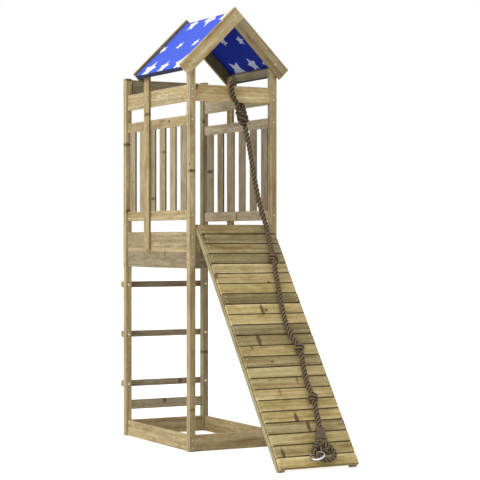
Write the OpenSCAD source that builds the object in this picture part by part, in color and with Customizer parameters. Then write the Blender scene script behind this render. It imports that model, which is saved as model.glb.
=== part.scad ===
// Wooden climbing frame: a square-post play tower with a railed platform under a gabled
// canvas roof, ladder rungs behind, and a plank ramp with a knotted climbing rope in front.
// Millimetres. X runs across the tower, Y from the ramp towards the ladder, Z up.
// The origin lies on the ground at the middle of the whole object's outline.

/* [Tower] */
// Outer width over the posts
tower_w = 465; // [420:1:560]
// Outer depth over the posts
tower_d = 745; // [680:1:860]
// Side of a square post
post_s = 32; // [28:1:40]
// Distance of the back posts' tops below the eave tips
back_post_drop = 1; // [0:1:56]
// Thickness of rails, joists, toe boards and base boards
board_t = 14; // [10:0.5:18]
// Height of a wide board
wide_h = 78; // [60:1:90]
// Height of a narrow rail
narrow_h = 47; // [36:1:56]

/* [Levels] */
// Top of the platform floor
floor_z = 945; // [900:1:990]
// Thickness of a floor board
floor_t = 16; // [12:0.5:22]
// Number of floor boards
floor_count = 8; // [6:1:8]
// Gap between two floor boards
floor_gap = 4; // [2:0.5:8]
// Gap between a toe board and the lower side rail over it
toe_gap = 55; // [27:1:127]
// Gap between a middle and a top side rail
rail_gap = 64; // [25:1:135]
// Distance of the front and side top rails below the eave tips
eave_gap = 86; // [58:1:98]
// Distance of the back top rail below the back posts' tops
back_rail_margin = 5; // [1:1:77]
// Underside of the cross slat low at the back
cross_slat_z = 131; // [90:1:170]

/* [Side slats] */
// Number of slats in each side panel
slat_count = 6; // [4:1:7]
// Width of a slat
slat_w = 57; // [45:1:66]
// Thickness of a slat
slat_t = 11; // [8:0.5:12]
// Depth that a slat is let into each rail
slat_tenon = 5; // [3:0.5:10]

/* [Ladder] */
// Number of rungs
rung_count = 3; // [2:1:3]
// Side of a square rung
rung_s = 30; // [26:1:36]
// Underside of the lowest rung
rung_z = 244; // [230:1:260]
// Distance from one rung to the next
rung_pitch = 250; // [220:1:270]

/* [Roof] */
// Slope of the roof in degrees
roof_pitch = 44.5; // [40:0.5:46]
// Height of the gable's peak
ridge_z = 2079; // [1900:1:2300]
// Distance that the eave tips stand out from the posts
eave_out = 55.5; // [50:0.5:75]
// Distance from the front posts' faces to the back of the roof props
roof_len = 492; // [440:1:540]
// Width of a rafter
rafter_w = 66; // [60:1:74]
// Thickness of a rafter
rafter_t = 16; // [12:0.5:20]
// Width of a roof prop
prop_w = 54; // [44:1:60]
// Thickness of a roof prop
prop_t = 14; // [10:0.5:16]
// Depth of the canvas below the rafters' top edges
canvas_drop = 14; // [8:0.5:18]
// Thickness of the canvas
canvas_t = 1.6; // [1:0.1:3]

/* [Ramp] */
// Slope of the ramp in degrees
ramp_angle = 53.5; // [50:0.5:58]
// Number of planks
plank_count = 23; // [22:1:24]
// Width of a plank
plank_w = 54; // [51.5:0.5:56]
// Gap between two planks
plank_gap = 2.2; // [1:0.1:5]
// Thickness of a plank
plank_t = 14; // [10:0.5:18]
// Play between the ramp and each front post
ramp_play = 3.5; // [2:0.5:10]
// Width of a stringer under the planks
stringer_w = 32; // [24:1:40]
// Depth of a stringer under the planks
stringer_d = 28; // [22:1:40]

/* [Rope] */
// Diameter of the climbing rope
rope_d = 25; // [22:0.5:25]
// Diameter of the knots that lie on the ramp
knot_d = 48; // [44:1:52]
// Diameter of the noose below the rail
noose_d = 54; // [46:1:58]
// Length of the noose
noose_len = 72; // [60:1:76]

/* [Hidden] */
// Cuts run past the solid that they open by this much
overrun = 1;
// Room between pieces that only lie against each other
seat_gap = 0.3;
// Room round a screw, bolt or tenon in its hole
fit_gap = 0.15;
// Facets of the round fasteners and knots
round_fn = 32;

// Wood screws
screw_head_r = 4;
screw_r = 2.1;
screw_head_h = 2.6;
screw_tip = 5;
// Lengths, from what each screw passes through and how far it bites or stops short
frame_bite = 30;
floor_bite = 14;
plank_bite = 20;
bearer_bite = 24;
screw_cover = 4;
frame_screw_l = post_s + frame_bite;
floor_screw_l = floor_t + floor_bite;
plank_screw_l = plank_t + plank_bite;
bearer_screw_l = board_t + bearer_bite;
prop_screw_l = prop_t + board_t - screw_cover;
rafter_screw_l = rafter_t + post_s - screw_cover;
// Places of two screws over a board's height, for side boards and for cross boards
side_screw_shares = [0.25, 0.7];
cross_screw_shares = [0.38, 0.86];
// Places of two screws over the width of a floor board or a plank
pair_shares = [0.24, 0.76];

// Rung bolts with dome heads, washers and nuts
bolt_r = 4;
bolt_head_r = 9;
bolt_head_h = 4.5;
washer_r = 10;
washer_t = 1.6;
nut_r = 7.5;
nut_h = 6;
bolt_end = 2;
bolt_dome_shares = [0.5, 0.8];

// Tower places
inner_w = tower_w - 2 * post_s;
inner_d = tower_d - 2 * post_s;
post_x = tower_w / 2 - post_s / 2;
board_inset = (post_s - board_t) / 2;
joist_z = floor_z - floor_t - wide_h;
rung_levels = [for (i = [0 : rung_count - 1]) rung_z + i * rung_pitch];
slat_pitch = inner_d / slat_count;
floor_recess = 0.5;
floor_edge = post_x + board_t / 2 - floor_recess;
floor_w = (2 * floor_edge - (floor_count - 1) * floor_gap) / floor_count;
floor_len = tower_d - 2 * board_inset;
// Places of the screws along an outer floor board
edge_screw_shares = [0.06, 0.35, 0.65, 0.94];

// Ramp places: the top edge of the plank surface, and how far it reaches from the tower
plank_pitch = plank_w + plank_gap;
ramp_len = plank_count * plank_pitch - plank_gap;
ramp_w = inner_w - 2 * ramp_play;
ramp_depth = plank_t + stringer_d;
stringer_x = ramp_w / 2 - stringer_w / 2;
// How deep the stringers' back corners are cut level at the foot and plumb at the top
foot_cut = 5;
head_cut = 5;
ramp_top_z = ramp_len * sin(ramp_angle) + ramp_depth * cos(ramp_angle) - foot_cut;
ramp_top_in = ramp_depth * sin(ramp_angle) - board_inset - head_cut;
ramp_reach = ramp_top_in + ramp_len * cos(ramp_angle);
ramp_corner_z = ramp_top_z - ramp_depth * cos(ramp_angle);
bearer_margin = 24;
bearer_h = ramp_corner_z + bearer_margin - floor_z;

// The tower's front and back faces, set so that the whole outline is centred
bolt_reach = washer_t + nut_h + bolt_end;
front_y = (ramp_reach - tower_d - rung_s - bolt_reach) / 2;
back_y = front_y + tower_d;
ramp_top_y = front_y - ramp_top_in;

// Roof places
half_span = tower_w / 2 + eave_out;
tip_z = ridge_z - half_span * tan(roof_pitch);
canvas_under = canvas_drop + canvas_t + seat_gap;
batten_under = canvas_under + board_t;
eave_clear = 1;
eave_w = (eave_out - eave_clear - batten_under * sin(roof_pitch)) / cos(roof_pitch);
prop_y = front_y + roof_len - prop_w;
prop_x = post_x + board_t / 2;
prop_foot_lap = 8;
prop_foot_z = floor_z - prop_foot_lap;
prop_top_z = roof_z(prop_x + prop_t, batten_under + seat_gap);
ridge_screw_drop = 43;
prop_screw_drop = 20;

// Upper boards: the lower side rails stand over the toe boards, the others hang below the eave tips
back_post_h = tip_z - back_post_drop;
back_rail_z = back_post_h - back_rail_margin - wide_h;
top_rail_z = tip_z - eave_gap - wide_h;
mid_rail_z = top_rail_z - rail_gap - narrow_h;
lower_rail_z = floor_z + wide_h + toe_gap;

// Boards between the posts as [underside, height]
base_level = [0, wide_h];
joist_level = [joist_z, wide_h];
toe_level = [floor_z, wide_h];
lower_level = [lower_rail_z, narrow_h];
mid_level = [mid_rail_z, narrow_h];
top_level = [top_rail_z, wide_h];
bearer_level = [floor_z, bearer_h];
back_top_level = [back_rail_z, wide_h];
cross_slat_level = [cross_slat_z, narrow_h];
side_levels = [base_level, joist_level, toe_level, lower_level, mid_level, top_level];
front_levels = [base_level, joist_level, bearer_level, top_level];
back_levels = [base_level, cross_slat_level, joist_level, back_top_level];
prop_levels = [toe_level, lower_level, mid_level, top_level];

// Rope
rope_r = rope_d / 2;
rope_sides = 12;
// Direction that the first ring of a rope is turned to
start_across = [0, 1, 0.2];
// Shares of the two nearest and the two next places in a smoothed rope's halfway place
smooth_shares = [9 / 16, -1 / 16];
// Room between the loop and the rail, and between a knot and the rope through it
loop_play = 1;
knot_play = 1.2;
strand_out = board_t / 2 + rope_r + loop_play;

// Noose: its place across, in front of the rail's middle and below the rail
noose_x = 51;
noose_fore = 10;
noose_drop = 72;
noose_tilt = 17;
noose_leg = rope_r + 2 * seat_gap;
noose_leg_rise = 9;
// Share of the hang in which the rope leaves the noose straight
hang_lead_share = 0.064;
// Route of the loop over the front rail, from the noose's left leg round to its right leg, as
// [X, share of a strand's distance from the rail's middle, share of the rail's height,
// rise as a share of the rope's radius]
loop_route = [
    [24, -0.7, 0, -1.9], [14, -1, 0, -0.4], [0, -1, 0.2, 0], [-10, -1, 0.55, 0], [-13, -1, 0.9, 0],
    [-8, -0.8, 1, 0.8], [4, 0, 1, 1.1], [18, 0.8, 1, 0.8], [28, 1, 0.9, 0], [42, 1, 0.55, 0],
    [55, 1, 0.2, 0], [60, 1, 0, -0.2], [58, 0.5, 0, -1.1], [52, -0.4, 0, -1.4],
];
// Route of the free rope from the noose's foot to the ramp's top edge, at this size of the hang
hang_size = [84, -43, -467];
hang_route = [
    [20, -3, -90], [32, -10, -175], [46, -21, -285], [62, -31, -380], [76, -37, -435], hang_size,
];
edge_down = 6;
edge_x = 149;
edge_rise = 7;
// Route on the ramp, at this length of it, as [distance down, X, share of the rise onto a knot]
route_len = 1115;
ramp_route = [
    [60, 147, 0], [120, 140, 0], [160, 132, 0.4], [190, 125, 1], [215, 121, 1], [240, 118, 1],
    [270, 114, 0.4], [315, 108, 0], [380, 98, 0], [440, 87, 0], [500, 78, 0], [560, 72, 0], [610, 71, 0],
    [655, 77, 0.4], [685, 84, 1], [710, 87, 1], [735, 88, 1], [770, 85, 0.4], [815, 79, 0], [880, 71, 0],
    [920, 68, 0.4], [945, 67, 1], [970, 66, 1], [995, 65, 1], [1030, 63, 0.4], [1075, 60, 0],
    [1095, 56, 0],
];
// Places of that route that carry a knot
knots = [4, 15, 22];
knot_len = 46;
knot_lift = knot_d / 2 + seat_gap;
rope_lift = rope_r + 3 * seat_gap;
wrap_count = 2;
noose_wraps = 3;
wrap_groove = 4;

// Sleeve, eye and ring at the rope's lower end
sleeve_x = 52;
sleeve_len = 56;
sleeve_top_d = 27;
sleeve_foot_w = 54;
sleeve_lift = sleeve_top_d / 2 + seat_gap;
eye_len = 108;
eye_w = 96;
eye_margin = 11;
rope_run = ramp_len - sleeve_len - eye_len - eye_margin;
route_scale = rope_run / route_len;
// Outline of one half of the eye as shares of its length and half width
eye_shares = [
    [0, 0.27], [0.05, 0.27], [0.15, 0.36], [0.3, 0.64], [0.5, 0.93], [0.68, 1], [0.85, 0.8], [0.96, 0.42],
];
ring_r = 30;
ring_wire_d = 8;
// The ring hangs round this place of the eye's outline, turned to lie across it
ring_place = 6;
ring_place_share = eye_shares[ring_place][0];
ring_turn = 42;
ring_play = 4.2;
// The ring leans so that it lies on the planks and carries the eye
ring_drop = rope_r + ring_wire_d / 2 + ring_play;
ring_tilt = -asin(ring_drop / ring_r);
eye_lift = ring_drop + ring_wire_d / 2 + seat_gap;

// Colours
wood = "tan";
ramp_wood = "burlywood";
dark_wood = "peru";
canvas_blue = "royalblue";
rope_brown = "saddlebrown";
steel = "silver";
zinc = "gainsboro";

FLOOR_NODES = [for (i = [1 : floor_count]) str("floor_board_", i)];
RUNG_NODES = [for (i = [1 : rung_count]) str("ladder_rung_", i)];

// Heights of the screws in a board of this level
function screw_heights(level, shares) =
    level[1] > narrow_h ? [for (s = shares) level[0] + s * level[1]] : [level[0] + level[1] / 2];

// Screws as [head place, turn, length]
function side_screws(side, front, levels) = [
    for (level = levels) for (z = screw_heights(level, side_screw_shares))
        [[side * post_x, front ? front_y : back_y, z], [front ? 90 : -90, 0, 0], frame_screw_l]
];
function cross_screws(side, front, levels) = [
    for (level = levels) for (z = screw_heights(level, cross_screw_shares))
        [[side * tower_w / 2, front ? front_y + post_s / 2 : back_y - post_s / 2, z],
         [0, side * 90, 0], frame_screw_l]
];
function prop_screws(side, levels) = [
    for (level = levels)
        [[side * (prop_x + prop_t), prop_y + prop_w / 2, level[0] + level[1] / 2],
         [0, side * 90, 0], prop_screw_l]
];
// Screws of the inner floor boards into the cross joists, and of the outer ones into the side joists
function floor_x(i) = -floor_edge + i * (floor_w + floor_gap);
function floor_screws(front) = [
    for (i = [1 : floor_count - 2]) for (s = pair_shares)
        [[floor_x(i) + s * floor_w, front ? front_y + post_s / 2 : back_y - post_s / 2, floor_z],
         [0, 0, 0], floor_screw_l]
];
function edge_floor_screws(side) = [
    for (s = edge_screw_shares)
        [[side * post_x, front_y + post_s + s * inner_d, floor_z], [0, 0, 0], floor_screw_l]
];
function bearer_screws(side) = [
    [[side * (stringer_x - stringer_w / 4), front_y + board_inset + board_t, ramp_corner_z],
     [-90, 0, 0], bearer_screw_l]
];
function front_rafter_screws(side) = [
    [[side * post_x, front_y - rafter_t, roof_z(post_x, rafter_w / 2)], [90, 0, 0], rafter_screw_l]
];
function back_rafter_screws(side) = [
    [[side * (prop_x + prop_t / 2), front_y + roof_len + rafter_t, prop_top_z - prop_screw_drop],
     [-90, 0, 0], rafter_screw_l]
];
function ridge_screws(front) = [
    [[0, front ? front_y - rafter_t : front_y + roof_len + rafter_t, ridge_z - ridge_screw_drop],
     [front ? 90 : -90, 0, 0], rafter_screw_l]
];
// Screws of one plank, in the ramp's own frame
function plank_y(i) = -i * plank_pitch - plank_w;
function plank_screws(i) = [
    for (side = [-1, 1]) for (s = pair_shares)
        [[side * stringer_x, plank_y(i) + s * plank_w, 0], [0, 0, 0], plank_screw_l]
];

// Height of a line under the roof slope, at a depth square to the rafters' top edges
function roof_z(x, depth) = ridge_z - abs(x) * tan(roof_pitch) - depth / cos(roof_pitch);
// A place on one slope: distance up from the eave tip, and depth below the rafters' top edges
function slope_at(side, up, depth) = [
    side * (half_span - up * cos(roof_pitch) - depth * sin(roof_pitch)),
    tip_z + up * sin(roof_pitch) - depth * cos(roof_pitch)
];

// A place on the ramp as [distance down, X, height over the planks], in the whole object's frame
function on_planks(p) = [
    p[1],
    ramp_top_y - p[0] * cos(ramp_angle) - p[2] * sin(ramp_angle),
    ramp_top_z - p[0] * sin(ramp_angle) + p[2] * cos(ramp_angle)
];
function along_ramp(p) =
    on_planks([p[0] * route_scale, p[1], rope_lift + p[2] * (knot_lift - rope_lift)]);
// Turn on the planks of a line from one place of the route to another
function turn_between(a, b) = atan2(b[1] - a[1], (b[0] - a[0]) * route_scale);
sleeve_turn = turn_between(ramp_route[len(ramp_route) - 1], [route_len, sleeve_x]);
function at_rail(p) = [
    p[0],
    front_y + post_s / 2 + p[1] * strand_out,
    top_rail_z + p[2] * wide_h + p[3] * rope_r
];
noose_at = [noose_x, front_y + post_s / 2 - noose_fore, top_rail_z - noose_drop];
noose_axis = [-sin(noose_tilt), 0, cos(noose_tilt)];
noose_across = [cos(noose_tilt), 0, sin(noose_tilt)];
noose_top = noose_at + noose_axis * noose_len / 2;
noose_foot = noose_at - noose_axis * noose_len / 2;
edge_at = on_planks([edge_down, edge_x, rope_r + edge_rise]);
hang_lead = hang_lead_share * (noose_foot[2] - edge_at[2]);
function on_hang(p) =
    [for (k = [0 : 2]) noose_foot[k] + p[k] / hang_size[k] * (edge_at[k] - noose_foot[k])];
function leg_at(side, rise) = noose_top + side * noose_leg * noose_across + rise * noose_axis;
loop_path = smoothed([
    leg_at(-1, 0), leg_at(-1, noose_leg_rise),
    for (p = loop_route) at_rail(p),
    leg_at(1, noose_leg_rise), leg_at(1, 0)
]);
rope_path = smoothed([
    noose_foot, noose_foot - hang_lead * noose_axis,
    for (p = hang_route) on_hang(p),
    for (p = ramp_route) along_ramp(p),
    on_planks([rope_run - seat_gap, sleeve_x, sleeve_lift])
]);
// The eye's path in the sleeve's frame, rising to lie on the ring
function eye_rise(share) =
    max(0, min(1, (share - eye_shares[1][0]) / (ring_place_share - eye_shares[1][0])));
function eye_point(side, share) = [
    side * share[1] * eye_w / 2,
    -sleeve_len - share[0] * eye_len,
    sleeve_lift + eye_rise(share[0]) * (eye_lift - sleeve_lift)
];
eye_path = smoothed([
    for (share = eye_shares) eye_point(-1, share),
    eye_point(1, [1, 0]),
    for (i = [len(eye_shares) - 1 : -1 : 0]) eye_point(1, eye_shares[i])
]);

// A path with a place added halfway along the curve between each two, and straight at its ends
function halfway(path, i) =
    i == 0 || i == len(path) - 2
        ? (path[i] + path[i + 1]) / 2
        : smooth_shares[0] * (path[i] + path[i + 1]) + smooth_shares[1] * (path[i - 1] + path[i + 2]);
function smoothed(path) = [
    for (i = [0 : len(path) - 2]) each [path[i], halfway(path, i)],
    path[len(path) - 1]
];

// Round tube along a path
function unit(v) = v / norm(v);
function tangents(path) = [
    for (i = [0 : len(path) - 1]) unit(path[min(i + 1, len(path) - 1)] - path[max(i - 1, 0)])
];
function squared(v, along) = unit(v - (v * along) * along);
function carried(along, i, v) =
    i == len(along) ? [] : let (next = squared(v, along[i])) concat([next], carried(along, i + 1, next));
module tube(path, r) {
    along = tangents(path);
    across = carried(along, 0, start_across);
    last = (len(path) - 1) * rope_sides;
    rings = [
        for (i = [0 : len(path) - 1]) for (k = [0 : rope_sides - 1])
            let (turn = 360 * k / rope_sides)
                path[i] + r * (cos(turn) * across[i] + sin(turn) * cross(along[i], across[i]))
    ];
    walls = [
        for (i = [0 : len(path) - 2]) for (k = [0 : rope_sides - 1])
            let (a = i * rope_sides + k, b = i * rope_sides + (k + 1) % rope_sides)
                each [[a, a + rope_sides, b], [b, a + rope_sides, b + rope_sides]]
    ];
    caps = [
        [for (k = [0 : rope_sides - 1]) k],
        [for (k = [rope_sides - 1 : -1 : 0]) last + k]
    ];
    polyhedron(rings, concat(walls, caps), convexity = 8);
}

// Outline in the XZ plane drawn out along Y
module along_y(y, length) {
    translate([0, y + length, 0])
        rotate([90, 0, 0])
            linear_extrude(length)
                children();
}
// Frame of the ramp: X across, Y up the slope, Z off the planks, origin at the top edge
module on_ramp() {
    translate([0, ramp_top_y, ramp_top_z])
        rotate([ramp_angle, 0, 0])
            children();
}

module screw(length) {
    rotate_extrude($fn = round_fn)
        polygon([
            [0, 0], [screw_head_r, 0], [screw_r, -screw_head_h], [screw_r, screw_tip - length], [0, -length]
        ]);
}
module screw_bore(length) {
    r = screw_r + fit_gap;
    head_r = screw_head_r + fit_gap;
    rotate_extrude($fn = round_fn)
        polygon([
            [0, overrun], [head_r, overrun], [head_r, 0], [r, -screw_head_h], [r, -length - fit_gap],
            [0, -length - fit_gap]
        ]);
}
module screws(list) {
    for (s = list)
        translate(s[0]) rotate(s[1]) screw(s[2]);
}
module bores(list) {
    for (s = list)
        translate(s[0]) rotate(s[1]) screw_bore(s[2]);
}
module rung_bolt_bores(side) {
    for (z = rung_levels)
        translate([side * post_x, back_y - post_s - overrun, z + rung_s / 2])
            rotate([-90, 0, 0])
                cylinder(r = bolt_r + fit_gap, h = post_s + rung_s + 2 * overrun, $fn = round_fn);
}

// Posts
module front_post(side) {
    inner = side * (tower_w / 2 - post_s);
    outer = side * tower_w / 2;
    difference() {
        along_y(front_y, post_s)
            polygon([
                [outer, 0], [inner, 0],
                [inner, roof_z(inner, canvas_under)], [outer, roof_z(outer, canvas_under)]
            ]);
        bores(side_screws(side, true, side_levels));
        bores(cross_screws(side, true, front_levels));
        bores(front_rafter_screws(side));
    }
}
module back_post(side) {
    difference() {
        translate([side * post_x - post_s / 2, back_y - post_s, 0])
            cube([post_s, post_s, back_post_h]);
        bores(side_screws(side, false, side_levels));
        bores(cross_screws(side, false, back_levels));
        rung_bolt_bores(side);
    }
}
module post_front_left() { color(wood) front_post(-1); }
module post_front_right() { color(wood) front_post(1); }
module post_back_left() { color(wood) back_post(-1); }
module post_back_right() { color(wood) back_post(1); }

// Boards between a front and a back post, and boards between the two front or back posts
module side_board(side, level) {
    difference() {
        translate([side * post_x - board_t / 2, front_y + post_s, level[0]])
            cube([board_t, inner_d, level[1]]);
        bores(side_screws(side, true, [level]));
        bores(side_screws(side, false, [level]));
        children();
    }
}
module cross_board(front, level) {
    y = front ? front_y + board_inset : back_y - board_inset - board_t;
    difference() {
        translate([-inner_w / 2, y, level[0]])
            cube([inner_w, board_t, level[1]]);
        for (side = [-1, 1])
            bores(cross_screws(side, front, [level]));
        children();
    }
}
module base_board_front() { color(wood) cross_board(true, base_level); }
module base_board_back() { color(wood) cross_board(false, base_level); }
module base_board_left() { color(wood) side_board(-1, base_level); }
module base_board_right() { color(wood) side_board(1, base_level); }
module back_cross_slat() { color(wood) cross_board(false, cross_slat_level); }

// Platform
module side_joist(side) {
    side_board(side, joist_level)
        bores(edge_floor_screws(side));
}
module cross_joist(front) {
    cross_board(front, joist_level)
        bores(floor_screws(front));
}
module joist_front() { color(wood) cross_joist(true); }
module joist_back() { color(wood) cross_joist(false); }
module joist_left() { color(wood) side_joist(-1); }
module joist_right() { color(wood) side_joist(1); }
// The outer floor boards are notched round the posts
module post_notches() {
    for (side = [-1, 1])
        for (y = [front_y, back_y - post_s])
            translate([side * post_x - post_s / 2 - seat_gap, y - seat_gap, joist_z])
                cube([post_s + 2 * seat_gap, post_s + 2 * seat_gap, floor_z]);
}
module floor_board(i) {
    color(dark_wood)
        difference() {
            translate([floor_x(i), front_y + board_inset, floor_z - floor_t])
                cube([floor_w, floor_len, floor_t]);
            post_notches();
            for (front = [true, false])
                bores(floor_screws(front));
            for (side = [-1, 1])
                bores(edge_floor_screws(side));
        }
}
module toe_board(side) {
    side_board(side, toe_level)
        bores(prop_screws(side, [toe_level]));
}
module toe_board_left() { color(wood) toe_board(-1); }
module toe_board_right() { color(wood) toe_board(1); }
module ramp_bearer() {
    color(wood)
        cross_board(true, bearer_level)
            for (side = [-1, 1])
                bores(bearer_screws(side));
}

// Railings
module slat_blocks(side, gap) {
    low = lower_rail_z + narrow_h - slat_tenon - gap;
    high = mid_rail_z + slat_tenon + gap;
    for (i = [0 : slat_count - 1])
        translate([
            side * post_x - slat_t / 2 - gap,
            front_y + post_s + (i + 0.5) * slat_pitch - slat_w / 2 - gap,
            low
        ])
            cube([slat_t + 2 * gap, slat_w + 2 * gap, high - low]);
}
module slatted_rail(side, level) {
    side_board(side, level) {
        bores(prop_screws(side, [level]));
        slat_blocks(side, fit_gap);
    }
}
module top_side_rail(side) {
    side_board(side, top_level)
        bores(prop_screws(side, [top_level]));
}
module top_rail_front() { color(wood) cross_board(true, top_level); }
module top_rail_back() { color(wood) cross_board(false, back_top_level); }
module top_rail_left() { color(wood) top_side_rail(-1); }
module top_rail_right() { color(wood) top_side_rail(1); }
module mid_rail_left() { color(wood) slatted_rail(-1, mid_level); }
module mid_rail_right() { color(wood) slatted_rail(1, mid_level); }
module lower_rail_left() { color(wood) slatted_rail(-1, lower_level); }
module lower_rail_right() { color(wood) slatted_rail(1, lower_level); }
module slats_left() { color(wood) slat_blocks(-1, 0); }
module slats_right() { color(wood) slat_blocks(1, 0); }

// Ladder rungs on the back posts
module ladder_rung(i) {
    color(wood)
        difference() {
            translate([-tower_w / 2, back_y, rung_levels[i]])
                cube([tower_w, rung_s, rung_s]);
            for (side = [-1, 1])
                rung_bolt_bores(side);
        }
}

// Gables: the left rafter runs through to the peak and the right one butts against it
module through_rafter() {
    polygon([
        slope_at(-1, 0, 0), [0, ridge_z],
        [rafter_w / (2 * sin(roof_pitch)), ridge_z - rafter_w / (2 * cos(roof_pitch))],
        slope_at(-1, 0, rafter_w)
    ]);
}
module butted_rafter() {
    polygon([
        slope_at(1, 0, 0),
        [rafter_w / (2 * sin(roof_pitch)), ridge_z - rafter_w / (2 * cos(roof_pitch))],
        [0, ridge_z - rafter_w / cos(roof_pitch)],
        slope_at(1, 0, rafter_w)
    ]);
}
module rafter_front_left() {
    color(wood)
        difference() {
            along_y(front_y - rafter_t, rafter_t) through_rafter();
            bores(front_rafter_screws(-1));
            bores(ridge_screws(true));
        }
}
module rafter_front_right() {
    color(wood)
        difference() {
            along_y(front_y - rafter_t, rafter_t) butted_rafter();
            bores(front_rafter_screws(1));
        }
}
module rafter_back_left() {
    color(wood)
        difference() {
            along_y(front_y + roof_len, rafter_t) through_rafter();
            bores(back_rafter_screws(-1));
            bores(ridge_screws(false));
        }
}
module rafter_back_right() {
    color(wood)
        difference() {
            along_y(front_y + roof_len, rafter_t) butted_rafter();
            bores(back_rafter_screws(1));
        }
}
module ridge_batten() {
    half = board_t / 2;
    peak = roof_z(0, canvas_under);
    color(wood)
        difference() {
            along_y(front_y, roof_len)
                polygon([
                    [-half, peak - narrow_h], [half, peak - narrow_h],
                    [half, roof_z(half, canvas_under)], [0, peak], [-half, roof_z(half, canvas_under)]
                ]);
            bores(ridge_screws(true));
            bores(ridge_screws(false));
        }
}
module eave_batten(side) {
    color(wood)
        along_y(front_y, roof_len)
            polygon([
                slope_at(side, 0, canvas_under), slope_at(side, eave_w, canvas_under),
                slope_at(side, eave_w, batten_under), slope_at(side, 0, batten_under)
            ]);
}
module eave_batten_left() { eave_batten(-1); }
module eave_batten_right() { eave_batten(1); }
module roof_prop(side) {
    color(wood)
        difference() {
            translate([side * (prop_x + prop_t / 2) - prop_t / 2, prop_y, prop_foot_z])
                cube([prop_t, prop_w, prop_top_z - prop_foot_z]);
            bores(prop_screws(side, prop_levels));
            bores(back_rafter_screws(side));
        }
}
module roof_prop_left() { roof_prop(-1); }
module roof_prop_right() { roof_prop(1); }

// Canvas stretched over the ridge and turned down over the edge of each eave batten
module roof_canvas() {
    lap = seat_gap + canvas_t;
    inside = canvas_drop + canvas_t;
    color(canvas_blue)
        along_y(front_y + seat_gap, roof_len - 2 * seat_gap)
            polygon([
                [0, roof_z(0, canvas_drop)],
                slope_at(1, -lap, canvas_drop), slope_at(1, -lap, batten_under),
                slope_at(1, -seat_gap, batten_under), slope_at(1, -seat_gap, inside),
                [0, roof_z(0, inside)],
                slope_at(-1, -seat_gap, inside), slope_at(-1, -seat_gap, batten_under),
                slope_at(-1, -lap, batten_under), slope_at(-1, -lap, canvas_drop)
            ]);
}

// Ramp
module ramp_stringer(side) {
    color(ramp_wood)
        difference() {
            on_ramp()
                translate([side * stringer_x - stringer_w / 2, -ramp_len, -ramp_depth])
                    cube([stringer_w, ramp_len, stringer_d]);
            translate([-tower_w, ramp_top_y - 2 * ramp_reach, -ramp_depth])
                cube([2 * tower_w, 2 * ramp_reach, ramp_depth]);
            translate([-tower_w, front_y + board_inset, 0])
                cube([2 * tower_w, ramp_depth, 2 * ramp_top_z]);
            on_ramp()
                for (i = [0 : plank_count - 1])
                    bores([for (s = plank_screws(i)) if (s[0][0] * side > 0) s]);
            bores(bearer_screws(side));
        }
}
module ramp_stringer_left() { ramp_stringer(-1); }
module ramp_stringer_right() { ramp_stringer(1); }
module ramp_planks() {
    color(ramp_wood)
        on_ramp()
            for (i = [0 : plank_count - 1])
                difference() {
                    translate([-ramp_w / 2, plank_y(i), -plank_t])
                        cube([ramp_w, plank_w, plank_t]);
                    bores(plank_screws(i));
                }
}

// Rope: a loop over the front rail, a noose, the free rope with its knots, and an eye with a ring
module wrapped(outer_r, length, count, inner_r) {
    step = length / count;
    rotate_extrude($fn = round_fn)
        polygon([
            [inner_r, 0],
            for (i = [0 : count - 1]) each [
                [outer_r - wrap_groove, i * step],
                [outer_r, i * step + step / 4],
                [outer_r, i * step + 3 * step / 4]
            ],
            [outer_r - wrap_groove, length],
            [inner_r, length]
        ]);
}
module rope_loop() { color(rope_brown) tube(loop_path, rope_r); }
module rope_noose() {
    color(rope_brown)
        translate(noose_foot)
            rotate([0, -noose_tilt, 0])
                wrapped(noose_d / 2, noose_len, noose_wraps, 0);
}
module climbing_rope() { color(rope_brown) tube(rope_path, rope_r); }
module rope_knots() {
    color(rope_brown)
        on_ramp()
            for (i = knots)
                translate([ramp_route[i][1], -ramp_route[i][0] * route_scale, knot_lift])
                    rotate([90, 0, turn_between(ramp_route[i - 1], ramp_route[i + 1])])
                        translate([0, 0, -knot_len / 2])
                            wrapped(knot_d / 2, knot_len, wrap_count, rope_r + knot_play);
}
module at_sleeve() {
    on_ramp()
        translate([sleeve_x, -rope_run, 0])
            rotate([0, 0, sleeve_turn])
                children();
}
module rope_sleeve() {
    reach = (sleeve_foot_w - sleeve_top_d) / 2;
    color(rope_brown)
        at_sleeve()
            translate([0, 0, sleeve_lift])
                hull() {
                    rotate([90, 0, 0])
                        cylinder(d = sleeve_top_d, h = seat_gap, $fn = round_fn);
                    for (side = [-1, 1])
                        translate([side * reach, seat_gap - sleeve_len, 0])
                            rotate([90, 0, 0])
                                cylinder(d = sleeve_top_d, h = seat_gap, $fn = round_fn);
                }
}
module rope_eye() {
    color(rope_brown)
        at_sleeve()
            tube(eye_path, rope_r);
}
module rope_ring() {
    color(steel)
        at_sleeve()
            translate(eye_point(-1, eye_shares[ring_place]))
                rotate([ring_tilt, 0, ring_turn])
                    rotate_extrude($fn = round_fn)
                        translate([ring_r, 0])
                            circle(d = ring_wire_d, $fn = round_fn);
}

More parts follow.
